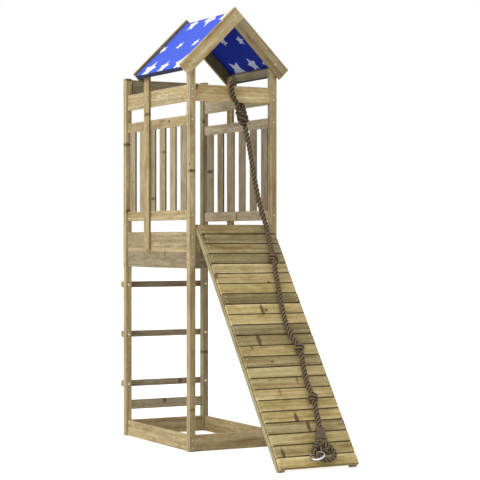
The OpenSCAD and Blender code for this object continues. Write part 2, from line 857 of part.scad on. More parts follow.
// Fasteners
module frame_screws() {
    color(zinc)
        for (side = [-1, 1]) {
            screws(side_screws(side, true, side_levels));
            screws(side_screws(side, false, side_levels));
            screws(cross_screws(side, true, front_levels));
            screws(cross_screws(side, false, back_levels));
            screws(prop_screws(side, prop_levels));
            screws(front_rafter_screws(side));
            screws(back_rafter_screws(side));
            screws(bearer_screws(side));
            screws(edge_floor_screws(side));
        }
    color(zinc)
        for (front = [true, false]) {
            screws(floor_screws(front));
            screws(ridge_screws(front));
        }
}
module ramp_screws() {
    color(zinc)
        on_ramp()
            for (i = [0 : plank_count - 1])
                screws(plank_screws(i));
}
module rung_bolt() {
    reach = post_s + rung_s + bolt_reach;
    seat = post_s + rung_s + fit_gap;
    rotate_extrude($fn = round_fn)
        polygon([
            [0, -bolt_head_h],
            [bolt_dome_shares[0] * bolt_head_r, -bolt_dome_shares[1] * bolt_head_h],
            [bolt_head_r, 0], [bolt_r, 0], [bolt_r, reach], [0, reach]
        ]);
    translate([0, 0, seat])
        difference() {
            union() {
                cylinder(r = washer_r, h = washer_t, $fn = round_fn);
                cylinder(r = nut_r, h = washer_t + nut_h, $fn = 6);
            }
            translate([0, 0, -overrun])
                cylinder(r = bolt_r + fit_gap, h = washer_t + nut_h + 2 * overrun, $fn = round_fn);
        }
}
module rung_bolts() {
    color(zinc)
        for (side = [-1, 1])
            for (z = rung_levels)
                translate([side * post_x, back_y - post_s, z + rung_s / 2])
                    rotate([-90, 0, 0])
                        rung_bolt();
}

post_front_left();
post_front_right();
post_back_left();
post_back_right();
base_board_front();
base_board_back();
base_board_left();
base_board_right();
back_cross_slat();
joist_front();
joist_back();
joist_left();
joist_right();
toe_board_left();
toe_board_right();
ramp_bearer();
top_rail_front();
top_rail_back();
top_rail_left();
top_rail_right();
mid_rail_left();
mid_rail_right();
lower_rail_left();
lower_rail_right();
slats_left();
slats_right();
rafter_front_left();
rafter_front_right();
rafter_back_left();
rafter_back_right();
ridge_batten();
eave_batten_left();
eave_batten_right();
roof_prop_left();
roof_prop_right();
roof_canvas();
ramp_stringer_left();
ramp_stringer_right();
ramp_planks();
rope_loop();
rope_noose();
climbing_rope();
rope_knots();
rope_sleeve();
rope_eye();
rope_ring();
frame_screws();
ramp_screws();
rung_bolts();
for (i = [0 : floor_count - 1])
    floor_board(i);
for (i = [0 : rung_count - 1])
    ladder_rung(i);
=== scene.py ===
"""Looks of the wooden climbing frame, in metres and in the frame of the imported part."""

import random
from collections import namedtuple
from math import asin, atan2, copysign, cos, exp, pi, radians, sin, tan

import bmesh
import bpy
from mathutils import Color, Matrix, Vector
from mathutils.geometry import delaunay_2d_cdt


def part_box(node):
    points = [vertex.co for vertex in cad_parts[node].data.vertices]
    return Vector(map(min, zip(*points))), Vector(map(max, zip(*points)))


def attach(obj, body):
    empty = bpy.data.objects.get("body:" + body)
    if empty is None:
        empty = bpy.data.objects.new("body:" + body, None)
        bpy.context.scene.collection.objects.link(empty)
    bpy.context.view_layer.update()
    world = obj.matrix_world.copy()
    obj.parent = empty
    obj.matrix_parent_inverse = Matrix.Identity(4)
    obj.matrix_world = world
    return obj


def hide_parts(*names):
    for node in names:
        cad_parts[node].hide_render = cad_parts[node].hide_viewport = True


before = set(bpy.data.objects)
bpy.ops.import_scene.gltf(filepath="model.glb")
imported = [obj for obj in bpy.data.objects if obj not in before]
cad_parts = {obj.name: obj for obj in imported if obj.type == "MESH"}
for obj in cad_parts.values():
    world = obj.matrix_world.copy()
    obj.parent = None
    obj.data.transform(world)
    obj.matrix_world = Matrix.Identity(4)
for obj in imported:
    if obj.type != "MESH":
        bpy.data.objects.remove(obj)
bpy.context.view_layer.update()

MM = 0.001
X, Y, Z = Vector((1, 0, 0)), Vector((0, 1, 0)), Vector((0, 0, 1))
SIDES = ((-1, "left"), (1, "right"))
rng = random.Random(7)

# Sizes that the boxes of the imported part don't give
ROOF_PITCH = radians(44.5)
RAFTER_W = 66 * MM
BATTEN_T = 14 * MM
EAVE_BATTEN_W = 47 * MM
RIDGE_BATTEN_H = 47 * MM
CANVAS_DROP = 14 * MM
CANVAS_T = 1.6 * MM
SEAT = 0.3 * MM
RAMP_ANGLE = radians(53.5)
PLANK_COUNT = 23
PLANK_W = 54 * MM
PLANK_GAP = 2.2 * MM
PLANK_T = 14 * MM
STRINGER_W = 32 * MM
STRINGER_D = 28 * MM
SLAT_COUNT = 6
SLAT_W = 57 * MM
FLOOR_COUNT = 8

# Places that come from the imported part
post_lo, post_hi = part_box("post_front_left")
FRONT_Y = post_lo.y
HALF_W = -post_lo.x
POST_S = post_hi.x - post_lo.x
POST_X = HALF_W - POST_S / 2
BACK_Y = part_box("post_back_left")[1].y
rafter_lo, rafter_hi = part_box("rafter_front_left")
ROOF_BACK, RAFTERS_BACK = (corner.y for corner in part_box("rafter_back_left"))
ROOF_COS, ROOF_SIN = cos(ROOF_PITCH), sin(ROOF_PITCH)
HALF_SPAN = -rafter_lo.x
RIDGE_Z = rafter_hi.z
TIP_Z = RIDGE_Z - HALF_SPAN * tan(ROOF_PITCH)
CANVAS_UNDER = CANVAS_DROP + CANVAS_T + SEAT
BATTEN_UNDER = CANVAS_UNDER + BATTEN_T
planks_lo, planks_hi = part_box("ramp_planks")
RAMP_COS, RAMP_SIN = cos(RAMP_ANGLE), sin(RAMP_ANGLE)
PLANK_PITCH = PLANK_W + PLANK_GAP
RAMP_LEN = PLANK_COUNT * PLANK_PITCH - PLANK_GAP
RAMP_DEPTH = PLANK_T + STRINGER_D
RAMP_TOP = Vector((0, planks_lo.y + RAMP_LEN * RAMP_COS, planks_hi.z))
DOWN_RAMP = Vector((0, -RAMP_COS, -RAMP_SIN))
OFF_RAMP = Vector((0, -RAMP_SIN, RAMP_COS))
RAIL_LO, RAIL_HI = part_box("top_rail_front")
RUNGS = sorted(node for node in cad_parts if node.startswith("ladder_rung_"))


def roof_z(x, depth):
    """Height of a line under the roof slope, at a depth square to the rafters' top edges."""
    return RIDGE_Z - abs(x) * tan(ROOF_PITCH) - depth / ROOF_COS


def slope_at(side, up, depth):
    """A place on one slope: distance up from the eave tip, and depth below the rafters' top edges."""
    x = HALF_SPAN - up * ROOF_COS - depth * ROOF_SIN
    return Vector((side * x, 0, TIP_Z + up * ROOF_SIN - depth * ROOF_COS))


def on_planks(down, x, height):
    """A place on the ramp: distance down from its top edge, X, and height over the planks."""
    return RAMP_TOP + down * DOWN_RAMP + x * X + height * OFF_RAMP


def new_object(name, data):
    made = bpy.data.objects.new(name, data)
    bpy.context.scene.collection.objects.link(made)
    return made


# Camera at the photograph's angle
CAMERA_AT = (-3.548, -6.6381, 0.9981)
CAMERA_TURN = (pi / 2 - 0.0018, 0, -0.4947)
CAMERA_LENS, CAMERA_SENSOR = 120.07, 36


def make_camera():
    data = bpy.data.cameras.new("camera")
    data.sensor_width = CAMERA_SENSOR
    data.lens = CAMERA_LENS
    camera = new_object("camera", data)
    camera.location = CAMERA_AT
    camera.rotation_euler = CAMERA_TURN
    bpy.context.scene.camera = camera


# Node helpers
def linear(colour):
    """A colour written from 0 to 255 as the shader's linear one."""
    return (*Color([value / 255 for value in colour]).from_srgb_to_scene_linear(), 1)


class Nodes:
    """Short ways to add nodes to a tree. An input is a value or another node's output."""

    def __init__(self, tree):
        self.tree = tree

    def fill(self, sockets, inputs):
        for key, value in inputs.items():
            if isinstance(value, bpy.types.NodeSocket):
                self.tree.links.new(value, sockets[key])
            else:
                sockets[key].default_value = value

    def add(self, kind, inputs, output=0, **settings):
        node = self.tree.nodes.new("ShaderNode" + kind)
        for key, value in settings.items():
            setattr(node, key, value)
        self.fill(node.inputs, inputs)
        return node.outputs[output]

    def attribute(self, name, output="Fac"):
        return self.add("Attribute", {}, output, attribute_name=name)

    def axes(self, vector):
        return self.add("SeparateXYZ", {0: vector}).node.outputs

    def stretched(self, vector, scales):
        return self.add("VectorMath", {0: vector, 1: scales}, operation="MULTIPLY")

    def noise(self, vector, scales, detail=2, distortion=0):
        place = self.stretched(vector, scales)
        return self.add("TexNoise", {"Vector": place, "Scale": 1, "Detail": detail, "Distortion": distortion})

    def ranged(self, value, low, high, to_low=0, to_high=1):
        inputs = {"Value": value, "From Min": low, "From Max": high, "To Min": to_low, "To Max": to_high}
        return self.add("MapRange", inputs)

    def math(self, operation, *inputs):
        return self.add("Math", dict(enumerate(inputs)), operation=operation)

    def times(self, first, second):
        return self.math("MULTIPLY", first, second)

    def mixed(self, factor, first, second, blend="MIX"):
        """A mix of two colours, each another node's output or written from 0 to 255."""
        first, second = (linear(side) if isinstance(side, tuple) else side for side in (first, second))
        return self.add("Mix", {0: factor, 6: first, 7: second}, 2, data_type="RGBA", blend_type=blend)

    def dimmed(self, colour, share):
        """A colour times a number."""
        return self.mixed(1, colour, self.add("CombineColor", {0: share, 1: share, 2: share}), "MULTIPLY")

    def bump(self, height, strength, distance):
        return self.add("Bump", {"Height": height, "Strength": strength, "Distance": distance})


def make_material(name, look, *values):
    """A material with its shader's inputs from one of the looks below."""
    material = bpy.data.materials.new(name)
    material.use_nodes = True
    nodes = Nodes(material.node_tree)
    nodes.fill(nodes.tree.nodes["Principled BSDF"].inputs, look(nodes, *values))
    return material


# Materials: sizes of the patterns are in waves or cells a metre
NOISE_SPAN = (0.3, 0.7)
TONE_LIGHT = (-0.3, 1.3, 0.3, 1.47)
LINES_ACROSS, LINES_THROUGH, LINE_WANDER = 120, 85, 8
LATE_SPAN, LATE_SHADE, LATE_BUMP = (0.45, 0.96), 0.34, 0.7
# Cells of the knots and the knots' size
ROUND_KNOTS, CROSS_KNOTS = ((7, 9, 9), 0.09), ((18, 5, 5), 0.22)
ROUND_KNOTS_RARE = 0.55
KNOT_CORE, KNOT_SHADE = 0.62, 0.85
# Radians of the canvas's threads a metre, and of the rope's yarns a metre and a turn of a strand
THREAD_WAVE = 5200
YARN_WAVE, YARN_TURN = 520, 37.7


def timber(nodes, pale, deep, green, grey, knot, edge, edged, clear):
    """Treated pine. edged is the edge colour's share on arrises, clear the share without cross knots. The
    tone and grey cast vary at random and also carry painted light and shade set per board and per face.
    """
    grain = nodes.attribute("grain", "Vector")
    fibres = nodes.noise(grain, (16, 900, 900))
    late = growth_lines(nodes, grain)
    streaks = nodes.ranged(nodes.noise(grain, (1.1, 42, 42), 4, 0.8), 0.38, 0.64)
    clouds = nodes.ranged(nodes.noise(grain, (2.4, 9, 9)), 0.42, 0.72, 0, 0.7)
    rings = nodes.ranged(nodes.noise(grain, (1.8, 125, 125), 3), 0.38, 0.66, 0, 0.36)
    blots = nodes.ranged(nodes.noise(grain, (7, 22, 22), 3, 0.5), 0.5, 0.7, 0, 0.5)
    mottle = nodes.ranged(nodes.noise(grain, (34, 90, 90), 3), *NOISE_SPAN, 0.84, 1.12)
    colour = nodes.mixed(streaks, pale, deep)
    colour = nodes.mixed(clouds, colour, green)
    # Grey cast: random on some boards, and painted shade on boards and faces set in shade
    colour = nodes.mixed(nodes.attribute("cast"), colour, grey)
    for share in (rings, nodes.times(late, LATE_SHADE), blots):
        colour = nodes.mixed(share, colour, deep, "MULTIPLY")
    # Tone: random on some boards, and painted light and shade where it is set per board and per face
    tone = nodes.ranged(nodes.attribute("tone"), *TONE_LIGHT)
    for light in (nodes.ranged(fibres, *NOISE_SPAN, 0.86, 1.08), mottle, tone):
        colour = nodes.dimmed(colour, light)
    round_knots = knot_mask(nodes, grain, ROUND_KNOTS_RARE, *ROUND_KNOTS)
    cross_knots = knot_mask(nodes, grain, clear, *CROSS_KNOTS)
    colour = nodes.mixed(nodes.math("MAXIMUM", round_knots, cross_knots), colour, knot)
    # Edge colour on the arrises; the ramp's dark one is painted shade in the gaps between planks
    colour = nodes.mixed(nodes.times(nodes.attribute("arris"), edged), colour, edge)
    rough = nodes.ranged(fibres, *NOISE_SPAN, 0.62, 0.84)
    height = nodes.math("MULTIPLY_ADD", late, LATE_BUMP, fibres)
    return {"Base Color": colour, "Roughness": rough, "Specular IOR Level": 0.28,
            "Normal": nodes.bump(height, 0.45, 0.4 * MM)}


def growth_lines(nodes, grain):
    """Lines of dark late wood along the grain, which wander and end sharply on one side."""
    _, across, through = nodes.axes(grain)
    place = nodes.math("MULTIPLY_ADD", through, LINES_THROUGH, nodes.times(across, LINES_ACROSS))
    wander = nodes.noise(grain, (1.4, 16, 16), 3)
    place = nodes.math("MULTIPLY_ADD", wander, LINE_WANDER, place)
    return nodes.ranged(nodes.math("FRACT", place), *LATE_SPAN)


def knot_mask(nodes, grain, rare, scales, size):
    """Dark spots in a few of the cells: rare is the share of the cells without one."""
    cells = nodes.add("TexVoronoi", {"Vector": nodes.stretched(grain, scales), "Scale": 1})
    picked = nodes.add("SeparateColor", {0: cells.node.outputs["Color"]})
    chosen = nodes.math("GREATER_THAN", picked, rare)
    return nodes.times(chosen, nodes.ranged(cells, size * KNOT_CORE, size, KNOT_SHADE, 0))


def canvas_cloth(nodes, colour, thread, gloss=0.12):
    """Woven cloth: two sets of threads, a mottled dye and a dull sheen."""
    weave = nodes.attribute("weave", "Vector")
    along, across, _ = nodes.axes(weave)
    warp, weft = (nodes.math("SINE", nodes.times(way, THREAD_WAVE)) for way in (along, across))
    threads = nodes.times(warp, weft)
    dye = nodes.ranged(nodes.noise(weave, (11, 11, 11), 4), 0.3, 0.75)
    colour = nodes.mixed(nodes.ranged(threads, -1, 1, 0, 0.35), colour, thread)
    colour = nodes.mixed(nodes.times(dye, 0.3), colour, thread)
    rough = nodes.ranged(dye, 0, 1, 0.66, 0.8)
    return {"Base Color": colour, "Roughness": rough, "Specular IOR Level": gloss, "Sheen Weight": gloss / 2,
            "Normal": nodes.bump(threads, 0.3, 0.2 * MM)}


def rope_fibre(nodes, pale, dark):
    """Laid rope: slanting yarns on each strand, with fuzz, and painted shade in the grooves between the
    strands and between the yarns.
    """
    lay = nodes.attribute("lay", "Vector")
    along, turn, crown = nodes.axes(lay)
    slant = nodes.math("MULTIPLY_ADD", turn, YARN_TURN, nodes.times(along, YARN_WAVE))
    yarns = nodes.ranged(nodes.math("SINE", slant), -1, 1)
    fuzz = nodes.noise(lay, (900, 60, 4), 3)
    # Painted shade: darker towards the grooves between the strands, pale on their crests
    colour = nodes.mixed(nodes.ranged(crown, 0.56, 0.96), dark, pale)
    # Painted shade in the grooves between the yarns
    colour = nodes.mixed(nodes.ranged(yarns, 0, 0.5, 0.5, 0), colour, dark)
    colour = nodes.mixed(nodes.ranged(fuzz, 0.4, 0.7, 0, 0.4), colour, pale)
    rough = nodes.ranged(fuzz, *NOISE_SPAN, 0.72, 0.92)
    height = nodes.math("MULTIPLY_ADD", fuzz, 0.6, yarns)
    return {"Base Color": colour, "Roughness": rough, "Specular IOR Level": 0.2,
            "Normal": nodes.bump(height, 0.8, 0.7 * MM)}


def speckled(nodes, pale, dark, scale, rough, metal, bump):
    """A mottled finish in object space, for the moulded sleeve, the metal pieces and the stitches."""
    place = nodes.add("TexCoord", {}, "Object")
    mottle = nodes.noise(place, (scale, scale, scale), 4)
    scratches = nodes.noise(place, (scale * 6, scale, scale * 9), 3)
    colour = nodes.mixed(nodes.ranged(mottle, *NOISE_SPAN), pale, dark)
    rough = nodes.ranged(scratches, *NOISE_SPAN, *rough)
    return {"Base Color": colour, "Roughness": rough, "Metallic": metal,
            "Normal": nodes.bump(scratches, bump, 0.2 * MM)}


def floor_white(nodes):
    """White that glows where it's seen."""
    return {"Base Color": FLOOR_COLOUR, "Roughness": FLOOR_ROUGH, "Emission Color": WHITE,
            "Emission Strength": nodes.times(seen_directly(nodes), FLOOR_GLOW)}


def make_materials():
    """The part's materials by name."""
    looks = {
        "treated_pine": (timber, (226, 206, 158), (186, 162, 112), (188, 170, 120), (182, 172, 150),
                         (84, 62, 36), (208, 189, 148), 0.6, 0.7),
        # The ramp's near-black edge colour on the arrises is painted shade in the gaps between planks
        "ramp_pine": (timber, (228, 209, 156), (182, 160, 100), (178, 162, 100), (180, 170, 140),
                      (80, 60, 30), (30, 22, 9), 0.95, 0.58),
        "canvas_blue": (canvas_cloth, (62, 92, 223), (74, 104, 231)),
        "canvas_white": (canvas_cloth, (246, 246, 248), (228, 230, 240)),
        # The inner face's colours are the outer ones darkened, as painted shade under the roof
        "shaded_inner_blue": (canvas_cloth, (26, 47, 160), (32, 56, 174), 0.04),
        "shaded_inner_white": (canvas_cloth, (212, 223, 250), (198, 210, 244), 0.04),
        # Dark navy for the hems and the cloth's edges: painted shade where the eave battens' edges lie in
        # shadow
        "shaded_hem_navy": (canvas_cloth, (30, 32, 62), (38, 42, 78)),
        "rope_fibre": (rope_fibre, (132, 114, 88), (20, 15, 10)),
        # A darker copy of the rope, as painted shade among the wraps of the noose and the loop over the rail
        "shaded_rope_fibre": (rope_fibre, (112, 96, 74), (16, 12, 8)),
        "sleeve_plastic": (speckled, (98, 80, 62), (82, 66, 50), 90, (0.42, 0.6), 0, 0.15),
        "ring_steel": (speckled, (226, 228, 232), (206, 208, 214), 160, (0.14, 0.3), 1, 0.05),
        "screw_zinc": (speckled, (222, 216, 200), (196, 190, 172), 400, (0.4, 0.6), 0.35, 0.1),
        "screw_dull_zinc": (speckled, (200, 188, 156), (168, 156, 122), 400, (0.5, 0.7), 0.2, 0.1),
        "bolt_zinc": (speckled, (220, 214, 198), (194, 188, 172), 300, (0.35, 0.55), 0.4, 0.1),
        "canvas_thread": (speckled, (214, 218, 236), (190, 196, 226), 900, (0.6, 0.8), 0, 0.3),
    }
    return {name: make_material(name, *look) for name, look in looks.items()}


# Pieces
def piece(bm, name, material, slot, *nodes):
    """Makes an object of a mesh, which rides on the part and stands for CAD nodes."""
    mesh = bpy.data.meshes.new(name)
    bm.to_mesh(mesh)
    bm.free()
    made = new_object(name, mesh)
    for finish in material if isinstance(material, list) else [material]:
        mesh.materials.append(finish)
    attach(made, "root")
    if nodes:
        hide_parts(*nodes)
    return made


def angles(count):
    return [2 * pi * k / count for k in range(count)]


def polar(reach, angle, height):
    return Vector((reach * cos(angle), reach * sin(angle), height))


def turned(angle, first, second):
    """A direction on the way round from first to second."""
    return cos(angle) * first + sin(angle) * second


def run_lengths(path):
    """Distances along a path at each of its places."""
    runs = [0]
    for p, q in zip(path, path[1:]):
        runs.append(runs[-1] + (q - p).length)
    return runs


def skin(bm, rings, closed=False):
    """Faces between rings of vertices, with two caps or, where closed, back to the first ring."""
    for low, high in zip(rings, rings[1:] + rings[:1] if closed else rings[1:]):
        for k in range(len(low)):
            n = (k + 1) % len(low)
            bm.faces.new((low[k], low[n], high[n], high[k])).smooth = True
    if not closed:
        bm.faces.new(rings[0][::-1])
        bm.faces.new(rings[-1])


def spin(bm, profile, place, axis, sides, turn=0):
    """A surface of revolution through (radius, height), where a radius may be a function of the side."""
    basis = axis.to_track_quat("Z", "Y").to_matrix()
    rings = []
    for radius, height in profile:
        rings.append([])
        for k, angle in enumerate(angles(sides)):
            reach = radius(k) if callable(radius) else radius
            rings[-1].append(bm.verts.new(place + basis @ polar(reach, angle + turn, height)))
    skin(bm, rings)


def face_out(bm):
    bmesh.ops.recalc_face_normals(bm, faces=bm.faces[:])


# Boards
ARRIS = (1.3 * MM, 2.2 * MM)
ARRIS_STEPS = 3
# Painted shade: how much darker in tone the faces square to a board's chosen direction are; below zero they
# are paler, as a painted highlight
SIDE_SHADE_DROP = 0.6
POST_DROP = 0.22
RUNG_DROP = -0.5
RAFTER_DROP = -0.4
# Share of the board's grey cast that these faces with painted shade keep
SIDE_SHADE_CAST = 0.3
# Least cosine between the normal of a face with painted shade or highlight and the direction that it's square
# to
SQUARE = 0.9
LEAST_RUN = 20 * MM
GRAIN_SHIFT = 30
CHANCE_TONE = (0.55, 0.12)
CHANCE_CAST = (0, 0.3)
BOARD_LAYERS = ("tone", "cast", "arris")
# A board's tone and grey cast, or none for chance, the direction that its faces with painted shade are square
# to, how much darker these are than the others, and the range of its arrises' width
Look = namedtuple("Look", "tone cast sawn drop arris", defaults=(None, None, None, SIDE_SHADE_DROP, ARRIS))
# Looks by the start of a node's name. Their set tones and casts are painted light and shade: boards in shade
# are darker and greyer, lit ones paler. A drop below zero makes the chosen faces paler, as a painted
# highlight
BOARD_LOOKS = {
    "post_front_": (0.58, 0.5, Y, POST_DROP), "roof_prop_": (0.55, 0.15, Y),
    "post_back_left": (0.7, 0.5, Y, POST_DROP), "post_back_right": (0.4, 0.9, Y, POST_DROP),
    "base_board_front": (0.5, 0.25), "base_board_left": (0.68, 0.25),
    "joist_": (0.26, 0.6), "toe_board_": (0.38, 0.4), "lower_rail_right": (1.25, 0.85),
    "mid_rail_left": (0.55, 0.3), "mid_rail_right": (1.2, 0.85),
    "top_rail_front": (0.72, 0.1), "top_rail_back": (0.2, 0.6),
    "top_rail_left": (0.66, 0.3), "top_rail_right": (1, 0.8),
    "back_cross_slat": (0.4, 0.7), "ladder_rung_": (0.16, 0.75, X, RUNG_DROP),
    "rafter_front_left": (0.6, 0.1), "rafter_front_right": (0.12, 0.2),
    # Rear rafters darkened as painted shade, with their top edges paler as a painted highlight
    "rafter_back_left": (-0.25, 0.2, turned(ROOF_PITCH, Z, -X), RAFTER_DROP),
    "rafter_back_right": (-0.25, 0.2, turned(ROOF_PITCH, Z, X), RAFTER_DROP),
    "eave_batten_": (0.5, 0.9), "ramp_stringer_": (0.62, 0.85),
}


def new_boards():
    bm = bmesh.new()
    bm.verts.layers.float_vector.new("grain")
    for layer in BOARD_LAYERS:
        bm.verts.layers.float.new(layer)
    return bm


def runs_along(vert, along):
    return any(abs((edge.other_vert(vert).co - vert.co) @ along) > LEAST_RUN for edge in vert.link_edges)


def add_board(bm, outline, draw, along, look):
    """A board: an outline drawn out, with rounded arrises and a grain of its own."""
    first = len(bm.verts)
    near = [bm.verts.new(p) for p in outline]
    far = [bm.verts.new(p + draw) for p in outline]
    faces = [bm.faces.new(near[::-1]), bm.faces.new(far)]
    for i in range(len(outline)):
        j = (i + 1) % len(outline)
        faces.append(bm.faces.new((near[i], near[j], far[j], far[i])))
    bmesh.ops.recalc_face_normals(bm, faces=faces)
    edges = list(dict.fromkeys(edge for face in faces for edge in face.edges))
    width = rng.uniform(*look.arris)
    bevel = bmesh.ops.bevel(bm, geom=edges, offset=width, segments=ARRIS_STEPS, profile=0.5, affect="EDGES")
    rounded = set(bevel["faces"])
    for face in rounded:
        face.smooth = True
    along = along.normalized()
    across = along.orthogonal().normalized()
    through = along.cross(across)
    shift = Vector([rng.uniform(0, GRAIN_SHIFT) for _ in range(3)])
    tone = min(1, max(0, rng.gauss(*CHANCE_TONE))) if look.tone is None else look.tone
    cast = rng.uniform(*CHANCE_CAST) if look.cast is None else look.cast
    grain = bm.verts.layers.float_vector["grain"]
    tones, casts, arrises = (bm.verts.layers.float[layer] for layer in BOARD_LAYERS)
    bm.verts.ensure_lookup_table()
    for vert in bm.verts[first:]:
        flat = [face for face in vert.link_faces if face not in rounded]
        # Faces square to the chosen direction get painted shade, or a painted highlight where the drop is
        # below zero
        sawn = look.sawn is not None and any(abs(face.normal @ look.sawn) > SQUARE for face in flat)
        vert[grain] = Vector((vert.co @ along, vert.co @ across, vert.co @ through)) + shift
        vert[tones] = tone - look.drop if sawn else tone
        vert[casts] = cast * SIDE_SHADE_CAST if sawn else cast
        vert[arrises] = float(not flat and runs_along(vert, along))


def board_piece(bm, node, material, slot="timber"):
    piece(bm, f"timber_{node}", material, slot, node)


def make_board(node, material, outline, draw, along, slot="timber"):
    """A node's one board as a piece."""
    look = next((look for start, look in BOARD_LOOKS.items() if node.startswith(start)), ())
    bm = new_boards()
    add_board(bm, outline, draw, along, Look(*look))
    board_piece(bm, node, material, slot)


def box_outline(lo, hi):
    """A box as an outline, and how far it's drawn out along its longest side."""
    size = hi - lo
    sides = [size.x * X, size.y * Y, size.z * Z]
    longest = max(range(3), key=lambda k: size[k])
    draw, a, b = sides[longest:] + sides[:longest]
    return [lo, lo + a, lo + a + b, lo + b], draw


def make_box_boards(material):
    names = ["post_back_left", "post_back_right", "back_cross_slat", "ramp_bearer", "roof_prop_left",
             "roof_prop_right"]
    for place in ("front", "back", "left", "right"):
        names += [f"base_board_{place}", f"joist_{place}", f"top_rail_{place}"]
    for _, side in SIDES:
        names += [f"toe_board_{side}", f"mid_rail_{side}", f"lower_rail_{side}"]
    names += [f"floor_board_{i}" for i in range(2, FLOOR_COUNT)]
    for name in names + RUNGS:
        outline, draw = box_outline(*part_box(name))
        make_board(name, material, outline, draw, draw)


def make_edge_floor_boards(material):
    """The outer floor boards, which are notched round the posts."""
    front, back = FRONT_Y + POST_S + SEAT, BACK_Y - POST_S - SEAT
    for name in ("floor_board_1", f"floor_board_{FLOOR_COUNT}"):
        lo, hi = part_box(name)
        inner, outer = sorted((lo.x, hi.x), key=abs)
        notch = copysign(HALF_W - POST_S - SEAT, outer)
        plan = [(inner, lo.y), (inner, hi.y), (notch, hi.y), (notch, back), (outer, back), (outer, front),
                (notch, front), (notch, lo.y)]
        make_board(name, material, [Vector((x, y, lo.z)) for x, y in plan], (hi.z - lo.z) * Z, Y)


# Tone and range of casts of a side's slats, set as painted light and shade; the slats' side faces also get
# painted shade
SLAT_LOOKS = {"left": (0.4, 0.3, 0.8), "right": (0.62, 0.6, 0.95)}
SLAT_JITTER = (-0.1, 0.1)


def make_slats(material):
    for _, side in SIDES:
        lo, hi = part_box(f"slats_{side}")
        step = (hi.y - lo.y - SLAT_W) / (SLAT_COUNT - 1)
        tone, *casts = SLAT_LOOKS[side]
        bm = new_boards()
        for i in range(SLAT_COUNT):
            y = lo.y + i * step
            outline, draw = box_outline(Vector((lo.x, y, lo.z)), Vector((hi.x, y + SLAT_W, hi.z)))
            look = Look(tone + rng.uniform(*SLAT_JITTER), rng.uniform(*casts), Y)
            add_board(bm, outline, draw, draw, look)
        board_piece(bm, f"slats_{side}", material)


def make_front_posts(material):
    inner = HALF_W - POST_S
    tops = [(x, roof_z(x, CANVAS_UNDER)) for x in (inner, HALF_W)]
    for side, name in SIDES:
        outline = [Vector((side * x, FRONT_Y, z)) for x, z in [(HALF_W, 0), (inner, 0), *tops]]
        make_board(f"post_front_{name}", material, outline, POST_S * Y, Z)


def make_roof_timber(material):
    notch = Vector((RAFTER_W / (2 * ROOF_SIN), 0, RIDGE_Z - RAFTER_W / (2 * ROOF_COS)))
    through = [slope_at(-1, 0, 0), Vector((0, 0, RIDGE_Z)), notch, slope_at(-1, 0, RAFTER_W)]
    under_peak = Vector((0, 0, RIDGE_Z - RAFTER_W / ROOF_COS))
    butted = [slope_at(1, 0, 0), notch, under_peak, slope_at(1, 0, RAFTER_W)]
    for end in ("front", "back"):
        for name, outline in (("left", through), ("right", butted)):
            node = f"rafter_{end}_{name}"
            lo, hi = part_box(node)
            placed = [p + lo.y * Y for p in outline]
            make_board(node, material, placed, (hi.y - lo.y) * Y, outline[1] - outline[0])
    length = (ROOF_BACK - FRONT_Y) * Y
    half, peak = BATTEN_T / 2, roof_z(0, CANVAS_UNDER)
    foot, shoulder = peak - RIDGE_BATTEN_H, roof_z(half, CANVAS_UNDER)
    ridge = [(-half, foot), (half, foot), (half, shoulder), (0, peak), (-half, shoulder)]
    make_board("ridge_batten", material, [Vector((x, FRONT_Y, z)) for x, z in ridge], length, length)
    top, under = CANVAS_UNDER, BATTEN_UNDER
    eave = [(0, top), (EAVE_BATTEN_W, top), (EAVE_BATTEN_W, under), (0, under)]
    for side, name in SIDES:
        outline = [slope_at(side, up, depth) + FRONT_Y * Y for up, depth in eave]
        make_board(f"eave_batten_{name}", material, outline, length, length)


# Ramp
# Tones of the planks down the ramp that are darker than the others
DARK_PLANKS = {0: 0.24, 1: 0.14, 2: 0.2, 3: 0.12, 7: 0, 10: 0.06, 11: 0.12, 13: 0.35, 15: 0.35, 19: 0.25}
PLANK_TONE = (0.62, 0.95)
PLANK_CAST = (0, 0.25)
PLANK_ARRIS = (2.2 * MM, 3 * MM)
PLANK_JITTER = (0, 1.2 * MM)


def clipped(outline, keep):
    """The outline's part where keep, a signed distance, isn't negative."""
    kept = []
    for p, q in zip(outline, outline[1:] + outline[:1]):
        at_p, at_q = keep(p), keep(q)
        if at_p >= 0:
            kept.append(p)
        if at_p * at_q < 0:
            kept.append(p.lerp(q, at_p / (at_p - at_q)))
    return kept


def make_ramp(material):
    bm = new_boards()
    for i in range(PLANK_COUNT):
        top, foot = i * PLANK_PITCH, i * PLANK_PITCH + PLANK_W
        left = planks_lo.x + rng.uniform(*PLANK_JITTER)
        right = planks_hi.x - rng.uniform(*PLANK_JITTER)
        corners = ((top, 0), (foot, 0), (foot, -PLANK_T), (top, -PLANK_T))
        outline = [on_planks(down, left, height) for down, height in corners]
        draw = (right - left) * X
        tone = DARK_PLANKS.get(i, rng.uniform(*PLANK_TONE))
        # The planks' edge faces along the gaps get painted shade
        look = Look(tone, rng.uniform(*PLANK_CAST), DOWN_RAMP, arris=PLANK_ARRIS)
        add_board(bm, outline, draw, draw, look)
    board_piece(bm, "ramp_planks", material, "ramp_timber")
    head_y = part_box("ramp_stringer_left")[1].y
    corners = ((0, -PLANK_T), (0, -RAMP_DEPTH), (RAMP_LEN, -RAMP_DEPTH), (RAMP_LEN, -PLANK_T))
    for _, name in SIDES:
        node = f"ramp_stringer_{name}"
        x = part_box(node)[0].x
        outline = [on_planks(down, x, height) for down, height in corners]
        outline = clipped(clipped(outline, lambda p: head_y - p.y), lambda p: p.z)
        make_board(node, material, outline, STRINGER_W * X, DOWN_RAMP, "ramp_timber")


